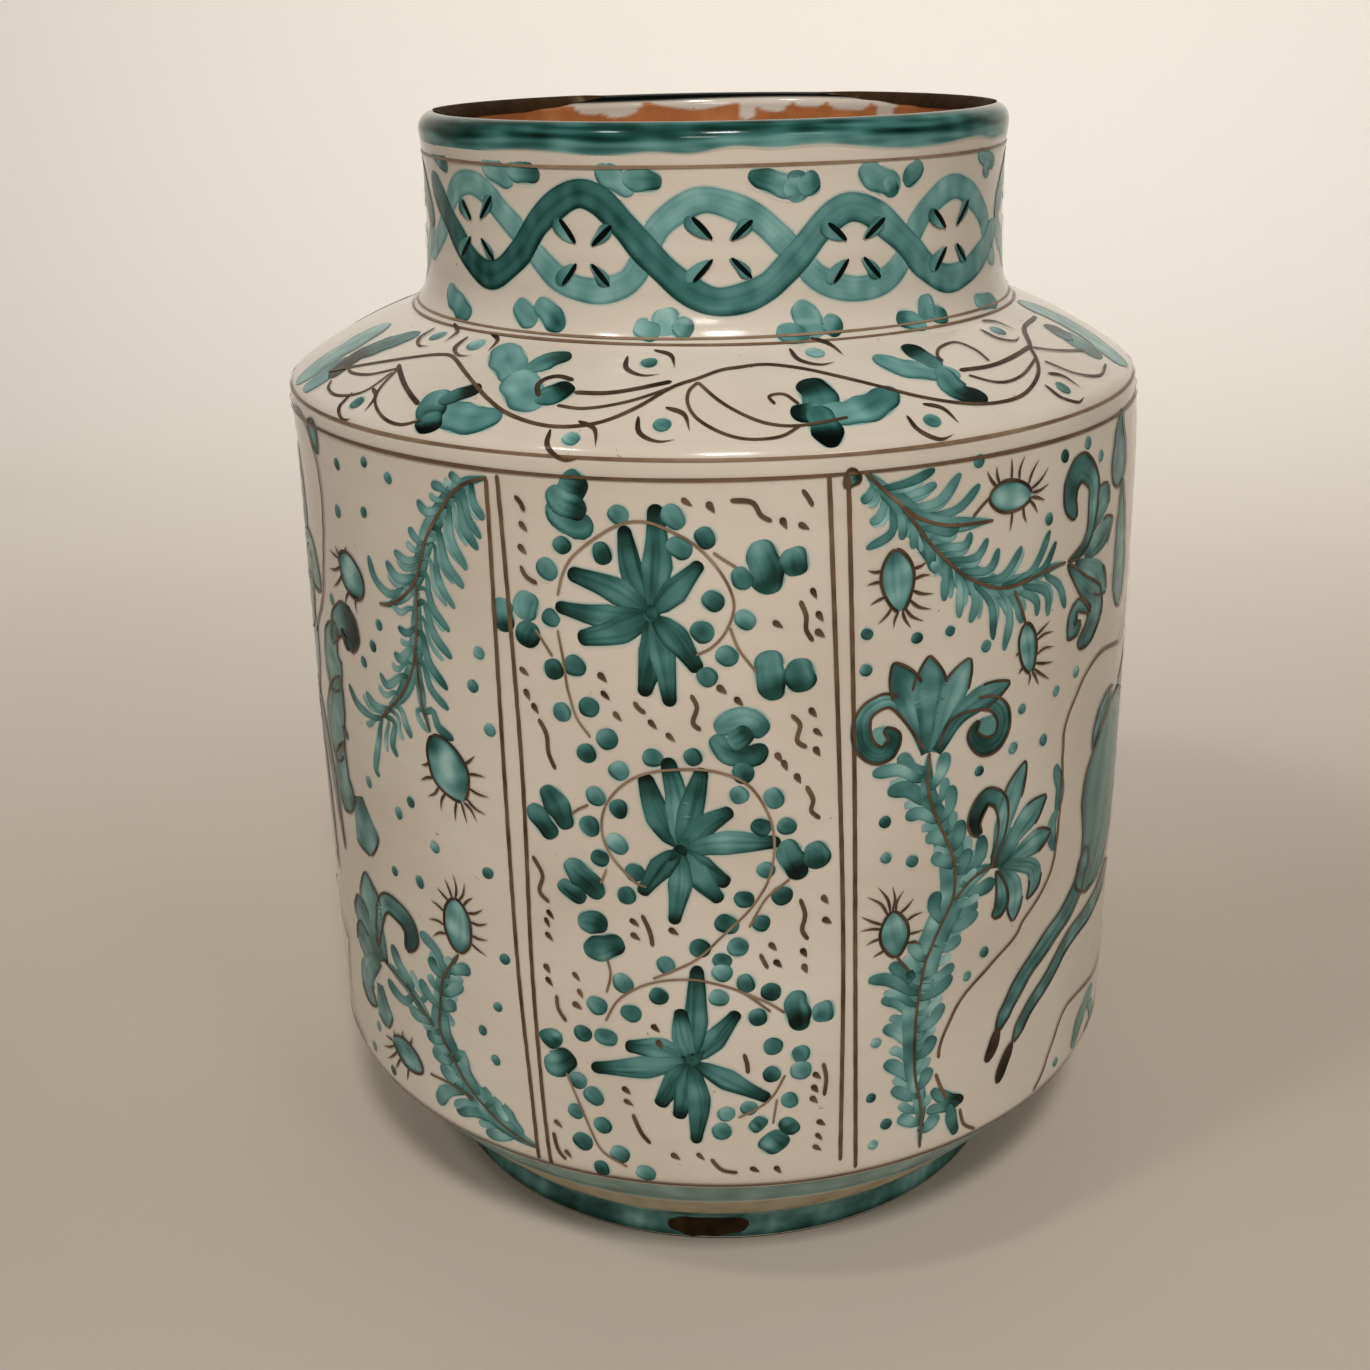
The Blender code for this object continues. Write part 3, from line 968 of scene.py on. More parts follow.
# Clouds of dabs above and below the knotwork: path, width in mm and how far the end pools
NECK_CLOUDS = (
    (((432, 150), (440, 158), (448, 170)), 4.6, 0.3),
    (((482, 160), (496, 172), (514, 181)), 5.6, 0.05),
    (((506, 170), (522, 172), (540, 175)), 4.8, 0.35),
    (((596, 166), (612, 178), (636, 190)), 5.6, 0.05),
    (((622, 178), (640, 180), (662, 182)), 5.0, 0.35),
    (((812, 190), (786, 186), (748, 174)), 5.0, 0.3),
    (((808, 196), (798, 184), (800, 170)), 5.0, 0.25),
    (((784, 186), (796, 190), (798, 202)), 5.6, 0.15),
    (((798, 184), (808, 184), (820, 180)), 5.2, 0.3),
    (((860, 166), (876, 178), (900, 188)), 6.0, 0.15),
    (((920, 160), (914, 172), (904, 184)), 4.6, 0.3),
    (((884, 180), (890, 186), (894, 195)), 4.4, 0.35),
    (((978, 152), (986, 158), (994, 162)), 4.2, 0.2),
    (((984, 164), (986, 170), (986, 178)), 4.0, 0.2),
    (((448, 288), (456, 300), (470, 318)), 5.4, 0.3),
    (((516, 302), (524, 312), (536, 324)), 5.4, 0.1),
    (((536, 302), (548, 312), (563, 330)), 5.4, 0.35),
    (((634, 326), (646, 330), (660, 334)), 4.8, 0.15),
    (((664, 308), (666, 320), (668, 336)), 6.4, 0.05),
    (((674, 322), (682, 328), (692, 334)), 5.0, 0.3),
    (((776, 331), (790, 334), (810, 336)), 4.8, 0.25),
    (((794, 304), (808, 318), (822, 336)), 6.0, 0.1),
    (((822, 322), (832, 326), (842, 332)), 5.0, 0.4),
    (((926, 322), (912, 322), (896, 316)), 5.0, 0.3),
    (((924, 294), (926, 306), (928, 322)), 5.6, 0.1),
    (((928, 312), (936, 314), (948, 318)), 4.8, 0.4),
    (((974, 300), (982, 302), (996, 300)), 4.4, 0.2),
)


def far_wave(low, high, start, end, first_up):
    """A wave along the neck where this view doesn't reach, from one angle to another in degrees."""
    middle, reach = (low + high) / 2, (high - low) / 2
    turns = np.arange(FAR_BENDS * 4 + 1) / 4
    angle = start + (end - start) * turns / FAR_BENDS
    sign = 1 if first_up else -1
    return np.stack((np.radians(angle), middle + sign * reach * np.sin(turns * math.pi)), 1)


def dabs(green, rows, turn=0.0, tone=0.1, patchy=0.06):
    """Loaded dabs in the view: each row is a path, a width in mm and how dark its end pooled."""
    for path, width_mm, pool in rows:
        flat = tone + 0.3 * pool + rng.uniform(-0.05, 0.06)
        where = px(path) + (turn, 0.0)
        ragged = min(0.13, 0.7 / width_mm)
        depth = {"edge": 0.3, "uneven": patchy, "pool": pool * 0.9, "streaks": patchy, "blot": patchy}
        stroke(green, where, width_mm, lobe_width, (flat, flat), ragged=ragged, **depth)


def sprig(green, dark, at, right, above, size):
    """A short green dab with a dark line through it, leaning away from the middle of a knot."""
    start, middle = (right * 0.32, above * 0.32), (right * 0.7, above * 0.62)
    dab = near(at, (start, middle, (right, above)))
    stroke(green, dab, 3.8 * size, dab_width, (0.2, 0.4), edge=0.2, uneven=0.08)
    start, middle = (right * 0.3 + 0.6, above * 0.3), (right * 0.62 + 0.9, above * 0.66)
    line = near(at, (start, middle, (right * 0.95 + 1, above)))
    stroke(dark, line, 1.3 * size, lobe_width, (0.95, 1.0), uneven=0.05)


def neck_band():
    """Knotwork of two strands with sprigs in its eyes, and clouds of dabs above and below."""
    halo = Layer("neck_soft", COPPER_GREEN, HALO_LIFT, step=HALO_STEP)
    light = Layer("neck_knot_light", COPPER_GREEN, GREEN_LIFT, halo=halo)
    dark = Layer("neck_knot_dark", COPPER_GREEN, DARK_LIFT, halo=halo)
    marks = Layer("neck_sprigs", COPPER_GREEN, BROWN_LIFT)
    strokes = Layer("neck_sprig_lines", COPPER_GREEN, TOP_LIFT)
    light_path, dark_path = px(LIGHT_STRAND), px(DARK_STRAND)
    stroke(light, light_path, 5.8, even_width, (0.15, 0.2), edge=0.2, uneven=0.06, streaks=0.07)
    stroke(dark, dark_path, 6.6, even_width, DARK_TONE, edge=0.3, uneven=0.06, streaks=0.08)
    low, high = dark_path[:, 1].min(), dark_path[:, 1].max()
    start, end = np.degrees(dark_path[-1, 0]), np.degrees(dark_path[0, 0]) + 360
    light_wave = far_wave(low, high, start, end, first_up=False)
    stroke(light, light_wave, 5.8, even_width, (0.26, 0.26), edge=0.1, uneven=0.07)
    dark_wave = far_wave(low, high, start, end, first_up=True)
    stroke(dark, dark_wave, 6.4, even_width, (0.3, 0.55), edge=0.2, uneven=0.08)
    span = math.radians(end - start) / FAR_BENDS
    far_eyes = [(math.radians(start) + span * (i + 0.5), (low + high) / 2) for i in range(FAR_BENDS)]
    for at in (*px(KNOT_EYES), *far_eyes):
        for right in (-SPRIG_MM, SPRIG_MM):
            for above in (-SPRIG_MM, SPRIG_MM):
                size = rng.uniform(0.85, 1.1)
                sprig(marks, strokes, at, right + rng.uniform(-1, 1), above + rng.uniform(-1, 1), size)
    for turn in (0.0, math.pi):
        dabs(light, NECK_CLOUDS, turn)
    for layer in (halo, light, dark, marks, strokes):
        layer.build()


neck_band()


def paint_set(name, twice=False):
    """The three layers of one field of decoration: soft rims, green strokes and brown lines."""
    halo = Layer(name + "_soft", COPPER_GREEN, HALO_LIFT, twice=twice, step=HALO_STEP)
    green = Layer(name + "_green", COPPER_GREEN, GREEN_LIFT, halo=halo, twice=twice)
    brown = Layer(name + "_brown", MANGANESE, BROWN_LIFT, twice=twice)
    return halo, green, brown


def lines(brown, paths, width_mm, tone, shape=even_width):
    """Brown liner strokes through pixels of the view."""
    for path in paths:
        stroke(brown, px(path), width_mm, shape, (tone, tone + 0.08), uneven=0.1)


def spots(green, places, size_mm, tone=0.34):
    """Round berries or dots, each with a darker spot where the colour settled."""
    for at in px(places):
        size = size_mm * rng.uniform(0.9, 1.1)
        reach = size * rng.uniform(0.5, 0.62)
        flat = tone + rng.uniform(-0.12, 0.2)
        path = near(at, ((-reach, 0), (reach, 0)), rng.uniform(-80, -10))
        shades = (flat - 0.1, flat + 0.16)
        stroke(green, path, size, round_width, shades, edge=0.3, uneven=0.12, blot=0.1, ragged=0.1)


def ticks(brown, places, length_mm=3.0):
    """Short drops of brown drawn out to the lower right."""
    for at in px(places):
        lean = rng.uniform(-70, -30)
        path = near(at, ((-length_mm / 2, 0), (length_mm / 2, 0)), lean)
        stroke(brown, path, rng.uniform(1.3, 1.7), drop_width, (rng.uniform(0.5, 0.9), 0.4), uneven=0.1)


# The shoulder's running scroll, with its loops, leaves and dots, in the view
SHOULDER_SCROLL = (
    (329, 372), (360, 366), (385, 362), (411, 358), (439, 355), (454, 358), (468, 376), (488, 399),
    (508, 414), (540, 425), (571, 427), (603, 422), (637, 408), (672, 388), (698, 379), (720, 371),
    (738, 368), (766, 365), (802, 369), (839, 377), (876, 386), (919, 397), (965, 404), (998, 403),
    (1023, 395), (1037, 377), (1037, 362), (1029, 347),
)
SHOULDER_STEMS = (
    ((399, 365), (405, 385), (419, 405)),
    ((574, 393), (614, 393), (672, 382)),
    ((959, 371), (995, 365), (1029, 347)),
    ((1030, 347), (1024, 328), (1035, 317)),
    ((539, 397), (538, 386), (547, 379), (560, 377), (574, 381)),
)
SHOULDER_LOOPS = (
    ((399, 369), (379, 391), (376, 405), (385, 419), (402, 425), (422, 421)),
    ((399, 369), (370, 375), (352, 373), (349, 368)),
    ((393, 373), (365, 392), (339, 396), (329, 389), (332, 381)),
    ((557, 406), (586, 409), (629, 402), (672, 388)),
    ((698, 383), (689, 392), (688, 405), (698, 420), (723, 434), (750, 440), (781, 437), (802, 425)),
    ((698, 383), (720, 402), (747, 417), (772, 425), (802, 426), (848, 418)),
    ((799, 405), (784, 395), (769, 397), (775, 405)),
    ((968, 376), (998, 383), (1020, 377), (1035, 359)),
    ((989, 362), (974, 350), (955, 343), (940, 348), (937, 356), (943, 362)),
    ((1030, 348), (1056, 351), (1084, 351)),
    ((1044, 362), (1075, 374), (1099, 376), (1105, 365)),
)
SHOULDER_LEAVES = (
    (((434, 405), (470, 420), (503, 414)), 9.0, 0.1),
    (((440, 390), (432, 408), (428, 426)), 8.0, 0.4),
    (((433, 412), (429, 424), (425, 434)), 7.0, 0.8),
    (((438, 402), (462, 394), (482, 386)), 5.2, 0.8),
    (((532, 386), (512, 368), (503, 344)), 8.4, 0.0),
    (((528, 372), (548, 361), (572, 355)), 6.6, 0.5),
    (((516, 372), (524, 392), (540, 408)), 9.6, 0.1),
    (((534, 400), (554, 394), (572, 384)), 7.0, 0.6),
    (((826, 414), (818, 394), (806, 379)), 8.6, 0.5),
    (((832, 412), (808, 413), (790, 411)), 6.0, 0.6),
    (((812, 413), (848, 413), (876, 404), (894, 388)), 8.0, 0.25),
    (((816, 406), (826, 428), (832, 448)), 7.0, 0.7),
    (((960, 374), (930, 372), (900, 367), (873, 356)), 7.0, 0.0),
    (((940, 368), (920, 355), (903, 345)), 6.2, 0.6),
    (((940, 368), (958, 391), (988, 399)), 7.0, 0.6),
    (((298, 385), (324, 362), (356, 342), (390, 323)), 14, 0.0),
    (((304, 392), (324, 376), (350, 358)), 10, 0.15),
    (((420, 334), (384, 345), (356, 357), (330, 379)), 8.6, 0.7),
    (((1018, 302), (1058, 318), (1094, 340), (1122, 366)), 14, 0.0),
    (((1070, 341), (1060, 333), (1050, 325)), 8.0, 0.7),
    (((1060, 331), (1080, 344), (1102, 359)), 11, 0.3),
)
SHOULDER_DOTS = (
    (438, 336), (476, 345), (649, 363), (357, 403), (571, 439), (662, 425), (815, 353), (932, 421),
    (998, 331), (1063, 388),
)
# The two arcs that hold a dot, in mm right of and above it
DOT_ARCS = (
    ((-5.6, 2.4), (-4.6, -2.6), (-0.6, -5.2), (3.4, -4.6)),
    ((0.2, 5.4), (4.6, 3.2), (6.2, -2.2)),
)


def shoulder_band():
    """A scroll of brown line with loops, green leaves and dots held in pairs of small arcs."""
    halo, green, brown = paint_set("shoulder", twice=True)
    lines(brown, (SHOULDER_SCROLL,), width_mm=1.0, tone=0.6)
    lines(brown, SHOULDER_STEMS, width_mm=1.25, tone=0.7)
    lines(brown, SHOULDER_LOOPS, width_mm=0.8, tone=0.6)
    dabs(green, SHOULDER_LEAVES, tone=0.18)
    spots(green, SHOULDER_DOTS, size_mm=4.0, tone=0.26)
    for at in px(SHOULDER_DOTS):
        for path in DOT_ARCS:
            stroke(brown, near(at, path), 1.2, drop_width, (0.85, 0.55))
    for layer in (halo, green, brown):
        layer.build()


shoulder_band()

# The upright lines at both sides of the front strip
PANEL_LINES = (
    ((486, 477), (504, 760), (518, 960), (531, 1083), (540, 1158)),
    ((497, 474), (522, 760), (532, 960), (543, 1093), (553, 1164)),
    ((829, 474), (839, 760), (843, 960), (840, 1160)),
    ((848, 471), (854, 760), (855, 960), (855, 1167)),
)

# Star flowers of the front strip: middle, tips of the petals, ring of vine, and side shoots
STARS = (
    (
        (652, 615),
        (
            (624, 528), (655, 507), (700, 564), (570, 573), (558, 606), (580, 638), (644, 694),
            (670, 704), (698, 670),
        ),
        (
            (558, 595), (564, 571), (577, 552), (611, 528), (640, 521), (669, 530), (698, 547),
            (722, 574), (734, 603), (727, 629), (713, 646), (696, 655),
        ),
        (
            ((558, 629), (564, 661), (568, 688), (577, 717), (591, 737)),
            ((713, 552), (725, 560), (737, 567)),
            ((730, 627), (739, 649), (756, 671)),
            ((536, 629), (545, 643), (553, 656)),
        ),
    ),
    (
        (681, 849),
        (
            (645, 776), (667, 760), (702, 770), (731, 811), (778, 842), (728, 883), (720, 900),
            (674, 922), (642, 893),
        ),
        (
            (647, 887), (635, 881), (616, 861), (605, 842), (602, 822), (607, 803), (621, 786),
            (640, 775), (664, 770), (698, 769), (727, 774), (751, 787), (768, 813), (774, 837),
            (773, 861), (766, 885), (749, 910), (722, 936), (698, 958), (674, 970), (653, 978),
        ),
        (
            ((790, 878), (766, 898), (749, 927)),
            ((607, 868), (604, 876), (601, 883)),
            ((572, 813), (580, 808), (589, 804)),
            ((607, 956), (611, 973), (607, 992)),
        ),
    ),
    (
        (692, 1062),
        (
            (697, 968), (681, 1010), (737, 1013), (627, 1046), (594, 1067), (660, 1105), (679, 1117),
            (696, 1141), (768, 1098),
        ),
        (
            (606, 1020), (618, 1000), (638, 987), (664, 980), (692, 979), (715, 983), (743, 992),
            (771, 1011),
        ),
        (
            ((747, 993), (768, 1002), (785, 1012)),
            ((567, 1072), (579, 1100), (590, 1126), (602, 1149), (628, 1166)),
            ((785, 1074), (773, 1095), (757, 1108), (738, 1117)),
            ((777, 1098), (775, 1110), (773, 1123)),
        ),
    ),
)
BERRIES = (
    (618, 515), (562, 545), (547, 569), (602, 553), (679, 548), (705, 538), (673, 517), (713, 601),
    (702, 632), (745, 620), (742, 578), (727, 656), (707, 677), (551, 618), (554, 669), (575, 666),
    (562, 712), (589, 707), (607, 739), (587, 753), (619, 771), (653, 758), (693, 757), (743, 773),
    (739, 795), (774, 798), (787, 826), (761, 827), (766, 870), (744, 899), (727, 924), (700, 948),
    (666, 965), (722, 961), (722, 973), (746, 983), (771, 992), (738, 947), (761, 923), (782, 895),
    (596, 796), (619, 809), (590, 826), (617, 844), (600, 858), (635, 872), (627, 895), (623, 983),
    (597, 1005), (631, 1013), (659, 996), (719, 998), (758, 1017), (773, 1046), (772, 1074),
    (801, 1054), (801, 1070), (790, 1100), (749, 1108), (726, 1114), (722, 1131), (583, 1033),
    (606, 1037), (578, 1080), (594, 1096), (576, 1111), (603, 1125), (583, 1141), (620, 1154),
    (602, 1168), (646, 1173),
)
STRIP_CLOUDS = (
    (((550, 500), (562, 518), (578, 526), (592, 520)), 6.0, 0.2),
    (((548, 488), (562, 502), (586, 514)), 6.0, 0.4),
    (((560, 478), (572, 486), (586, 494)), 7.0, 0.4),
    (((759, 540), (764, 562), (772, 594)), 7.6, 0.35),
    (((790, 548), (794, 560), (796, 576)), 6.6, 0.25),
    (((504, 598), (503, 612), (506, 632)), 5.6, 0.35),
    (((530, 592), (526, 606), (524, 620)), 6.0, 0.05),
    (((532, 622), (528, 634), (524, 646)), 6.0, 0.45),
    (((770, 650), (770, 674), (776, 700)), 7.0, 0.45),
    (((800, 658), (800, 672), (802, 692)), 7.0, 0.45),
    (((712, 736), (726, 750), (748, 756), (768, 748)), 6.0, 0.4),
    (((716, 732), (732, 722), (752, 722), (764, 736)), 6.4, 0.2),
    (((728, 742), (740, 738), (752, 731)), 5.6, 0.35),
    (((543, 786), (556, 804), (569, 829)), 6.2, 0.35),
    (((530, 804), (542, 820), (555, 838)), 5.4, 0.35),
    (((566, 860), (582, 876), (603, 897)), 6.2, 0.35),
    (((560, 880), (570, 890), (586, 900)), 4.6, 0.35),
    (((578, 922), (592, 922), (608, 926)), 6.0, 0.4),
    (((584, 950), (600, 948), (624, 942)), 6.6, 0.4),
    (((784, 840), (792, 858), (803, 878)), 6.2, 0.4),
    (((812, 842), (816, 852), (820, 868)), 6.0, 0.4),
    (((548, 1028), (552, 1038), (560, 1046)), 6.4, 0.35),
    (((544, 1062), (556, 1064), (573, 1054)), 7.4, 0.4),
    (((797, 990), (797, 1008), (803, 1030)), 6.0, 0.4),
    (((820, 1002), (823, 1010), (822, 1022)), 5.6, 0.2),
    (((752, 1120), (758, 1124), (764, 1128)), 5.2, 0.2),
    (((796, 1120), (789, 1126), (782, 1132)), 5.6, 0.5),
    (((766, 1134), (774, 1142), (782, 1150)), 7.6, 0.3),
)
STRIP_TICKS = (
    (524, 526), (523, 549), (687, 502), (711, 507), (784, 523), (804, 526), (814, 593), (820, 616),
    (820, 633), (778, 624), (525, 671), (528, 694), (536, 708), (603, 677), (606, 695), (618, 716),
    (653, 724), (671, 737), (722, 689), (739, 701), (813, 712), (818, 732), (817, 751), (779, 757),
    (785, 765), (798, 778), (551, 914), (548, 922), (550, 936), (548, 968), (550, 981), (577, 976),
    (581, 993), (635, 922), (636, 936), (674, 931), (825, 899), (827, 920), (773, 946), (778, 963),
    (804, 952), (805, 968), (656, 1028), (660, 1044), (627, 1090), (629, 1102), (676, 1156),
    (701, 1156), (755, 1169), (778, 1169), (821, 1122), (819, 1136), (817, 1147), (817, 1075),
    (815, 1088), (814, 1099), (578, 1005), (559, 1123), (569, 1153),
)
STRIP_SQUIGGLES = (
    ((515, 495), (521, 502), (525, 511)),
    ((521, 565), (527, 576), (538, 583)),
    ((730, 500), (752, 502), (761, 515), (772, 521)),
    ((802, 489), (808, 497), (813, 506)),
    ((800, 600), (806, 615), (806, 629), (813, 641)),
    ((539, 718), (547, 734), (549, 752), (556, 769)),
    ((634, 701), (639, 708), (646, 713)),
    ((691, 694), (697, 707), (693, 722), (701, 730)),
    ((791, 714), (800, 724), (797, 740), (807, 747)),
    ((806, 785), (813, 799), (811, 810), (820, 818)),
    ((533, 855), (543, 874), (540, 890), (550, 902)),
    ((642, 914), (650, 931), (653, 946)),
    ((800, 898), (805, 914), (802, 929), (808, 939)),
    ((760, 953), (764, 961), (768, 968)),
    ((744, 1053), (747, 1063), (748, 1073)),
    ((633, 1113), (641, 1131), (651, 1143)),
    ((711, 1158), (722, 1169), (738, 1172)),
    ((823, 1062), (826, 1077), (824, 1095)),
    ((557, 994), (559, 1008), (567, 1021)),
    ((554, 1131), (559, 1149), (567, 1159)),
)
# Dark strokes across the heart of a star, and how far they reach in the view
HEART_STROKES = 3
HEART_PX = 13


def star(green, pools, brown, centre, tips, vine, shoots):
    """A flower of long petals, each ending in a dark pooled tip, on a ring of vine."""
    lines(brown, (vine, *shoots), width_mm=0.65, tone=0.14)
    middle = np.array(centre, float)
    for tip in tips:
        reach = np.array(tip) - middle
        bow = np.array((-reach[1], reach[0])) * rng.uniform(-0.07, 0.07)
        path = (middle + reach * 0.04, middle + reach * 0.5 + bow, middle + reach * 1.03)
        deep = rng.uniform(-0.1, 0.1)
        tone = (0.6, 0.46 + deep, 0.36 + deep, 0.34 + deep, 0.38 + deep, 0.46 + deep, 0.6, 0.95)
        width_mm = rng.uniform(5.8, 7.0)
        stroke(green, px(path), width_mm, ray_width, tone, edge=0.28, uneven=0.07, streaks=0.16)
    for _ in range(HEART_STROKES):
        start, end = rng.uniform(-HEART_PX, HEART_PX, (2, 2))
        path = px((middle + start, middle, middle + end))
        stroke(pools, path, 2.6, petal_width, (0.7, 0.6, 0.75), uneven=0.1)


def star_strip():
    """The upright strip of star flowers, with berries, clouds of dabs and brown ticks round them."""
    halo, green, brown = paint_set("strip", twice=True)
    pools = Layer("strip_pools", COPPER_GREEN, DARK_LIFT, twice=True)
    lines(brown, PANEL_LINES, width_mm=1.1, tone=0.48)
    for row in STARS:
        star(green, pools, brown, *row)
    spots(green, BERRIES, size_mm=4.7)
    dabs(green, STRIP_CLOUDS, tone=0.2, patchy=0.12)
    ticks(brown, STRIP_TICKS)
    lines(brown, STRIP_SQUIGGLES, width_mm=1.1, tone=0.5)
    for layer in (halo, green, pools, brown):
        layer.build()


star_strip()

# Side panels: ribs of the fronds, their strokes, and the other brown lines
RIBS = (
    (
        (487, 477), (468, 482), (453, 492), (441, 510), (427, 537), (421, 561), (415, 582), (404, 596),
        (390, 604), (380, 603),
    ),
    ((417, 584), (417, 624), (416, 649), (413, 669), (402, 694), (382, 718)),
    ((416, 649), (419, 676), (423, 706), (431, 732)),
    (
        (539, 1148), (516, 1134), (492, 1113), (469, 1085), (453, 1056), (441, 1030), (441, 1001),
        (444, 977), (459, 954),
    ),
    ((435, 1026), (414, 995), (398, 975), (383, 958)),
    ((475, 1099), (451, 1083), (431, 1073)),
    (
        (864, 471), (885, 491), (902, 506), (924, 536), (946, 560), (967, 577), (993, 587), (1015, 585),
        (1048, 569), (1065, 562),
    ),
    ((902, 506), (922, 519), (952, 525), (993, 520)),
    ((972, 517), (980, 507), (989, 497)),
    ((1014, 590), (1020, 606), (1025, 623)),
    (
        (929, 752), (927, 783), (933, 809), (944, 835), (953, 859), (954, 887), (950, 904), (937, 932),
        (926, 958), (921, 980), (916, 1013), (914, 1045), (915, 1078), (920, 1106), (919, 1147),
    ),
    ((954, 900), (972, 878), (993, 864)),
    ((896, 956), (902, 963), (909, 971)),
)
COMBS = (
    ((472, 488), (474, 504), (484, 520)), ((464, 494), (468, 516), (481, 539)),
    ((458, 498), (464, 526), (478, 550)), ((449, 508), (452, 540), (467, 570)),
    ((439, 531), (446, 562), (464, 588)), ((435, 547), (439, 580), (455, 609)),
    ((427, 576), (432, 606), (450, 632)), ((425, 604), (434, 634), (452, 659)),
    ((423, 635), (430, 664), (448, 690)), ((423, 663), (432, 690), (449, 710)),
    ((460, 482), (455, 478), (449, 473)), ((447, 492), (440, 487), (431, 484)),
    ((441, 508), (427, 512), (417, 500)), ((421, 543), (414, 536), (409, 527)),
    ((419, 557), (407, 561), (394, 551)), ((413, 575), (398, 578), (386, 561)),
    ((402, 590), (390, 594), (376, 580), (368, 555)), ((415, 627), (407, 633), (398, 627)),
    ((411, 649), (402, 659), (394, 653)), ((402, 676), (388, 685), (380, 673)),
    ((388, 708), (376, 706), (366, 692)), ((372, 716), (358, 704), (349, 684)),
    ((383, 719), (378, 748), (376, 767), (380, 777)), ((395, 723), (393, 744), (398, 757)),
    ((402, 711), (406, 724), (412, 738)), ((433, 711), (439, 727), (454, 740)),
    ((885, 488), (910, 482), (935, 469)), ((892, 496), (914, 494), (937, 484)),
    ((906, 504), (938, 502), (961, 473)), ((920, 516), (956, 510), (980, 484)),
    ((926, 528), (950, 532), (959, 523)), ((939, 547), (964, 546), (971, 532)),
    ((946, 560), (976, 557), (988, 538)), ((959, 569), (988, 570), (999, 548)),
    ((976, 580), (1004, 575), (1022, 546)), ((1000, 584), (1032, 571), (1050, 530)),
    ((1015, 582), (1043, 569), (1056, 541)), ((874, 482), (870, 495), (861, 502)),
    ((883, 493), (881, 515), (870, 524)), ((892, 504), (892, 532), (866, 549)),
    ((900, 512), (903, 526), (902, 540)), ((911, 519), (914, 534), (913, 549)),
    ((922, 534), (930, 552), (932, 571)), ((941, 560), (945, 580), (944, 601)),
    ((954, 569), (960, 592), (959, 618)), ((963, 577), (976, 599), (970, 623)),
    ((976, 586), (991, 605), (993, 640)), ((989, 590), (1009, 614), (1004, 651)),
    ((1004, 590), (1016, 604), (1022, 623)), ((1015, 590), (1035, 599), (1037, 616)),
    ((1026, 586), (1046, 592), (1048, 616)), ((1048, 577), (1059, 586), (1065, 608)),
)
LEAFLETS = (
    ((406, 1001), (396, 992), (388, 979)), ((433, 1024), (422, 1018), (410, 1009)),
    ((441, 1040), (434, 1038), (427, 1032)), ((447, 1060), (440, 1056), (433, 1048)),
    ((461, 1083), (450, 1076), (441, 1064)), ((461, 1091), (447, 1091), (439, 1103)),
    ((490, 1118), (473, 1111), (457, 1111)), ((512, 1136), (500, 1136), (486, 1132)),
    ((412, 985), (400, 966), (392, 944)), ((439, 1007), (428, 994), (420, 979)),
    ((441, 977), (435, 968), (431, 956)), ((445, 972), (437, 951), (420, 932)),
    ((453, 971), (462, 969), (471, 971)), ((449, 993), (456, 988), (463, 985)),
    ((447, 1007), (452, 1005), (457, 1007)), ((445, 1015), (448, 1036), (457, 1054)),
    ((463, 1054), (468, 1076), (480, 1095)), ((486, 1091), (492, 1106), (502, 1120)),
    ((506, 1109), (513, 1124), (524, 1136)), ((913, 770), (906, 763), (900, 754)),
    ((915, 778), (898, 770), (872, 774)), ((922, 800), (907, 789), (887, 792)),
    ((933, 820), (920, 813), (905, 817)), ((946, 843), (935, 837), (925, 839)),
    ((950, 867), (941, 861), (933, 854)), ((941, 919), (934, 908), (937, 891)),
    ((922, 958), (916, 952), (911, 941)), ((911, 980), (902, 972), (890, 964)),
    ((909, 991), (889, 980), (868, 980)), ((911, 1015), (898, 1002), (881, 1000)),
    ((909, 1045), (898, 1032), (883, 1028)), ((909, 1078), (897, 1068), (884, 1063)),
    ((909, 1097), (902, 1094), (892, 1088)), ((913, 1123), (907, 1121), (899, 1116)),
    ((933, 785), (941, 772), (946, 752)), ((941, 822), (950, 806), (950, 785)),
    ((950, 850), (959, 838), (959, 820)), ((968, 869), (980, 856), (981, 835)),
    ((961, 869), (965, 860), (967, 848)), ((961, 893), (978, 890), (995, 881)),
    ((950, 917), (964, 912), (978, 903)), ((944, 930), (962, 924), (978, 912)),
    ((935, 948), (948, 946), (961, 937)), ((926, 980), (940, 976), (954, 964)),
    ((924, 997), (938, 990), (952, 975)), ((920, 1028), (932, 1020), (943, 1003)),
    ((918, 1058), (926, 1050), (933, 1035)), ((918, 1089), (924, 1080), (928, 1067)),
    ((924, 1128), (931, 1122), (936, 1113)),
)
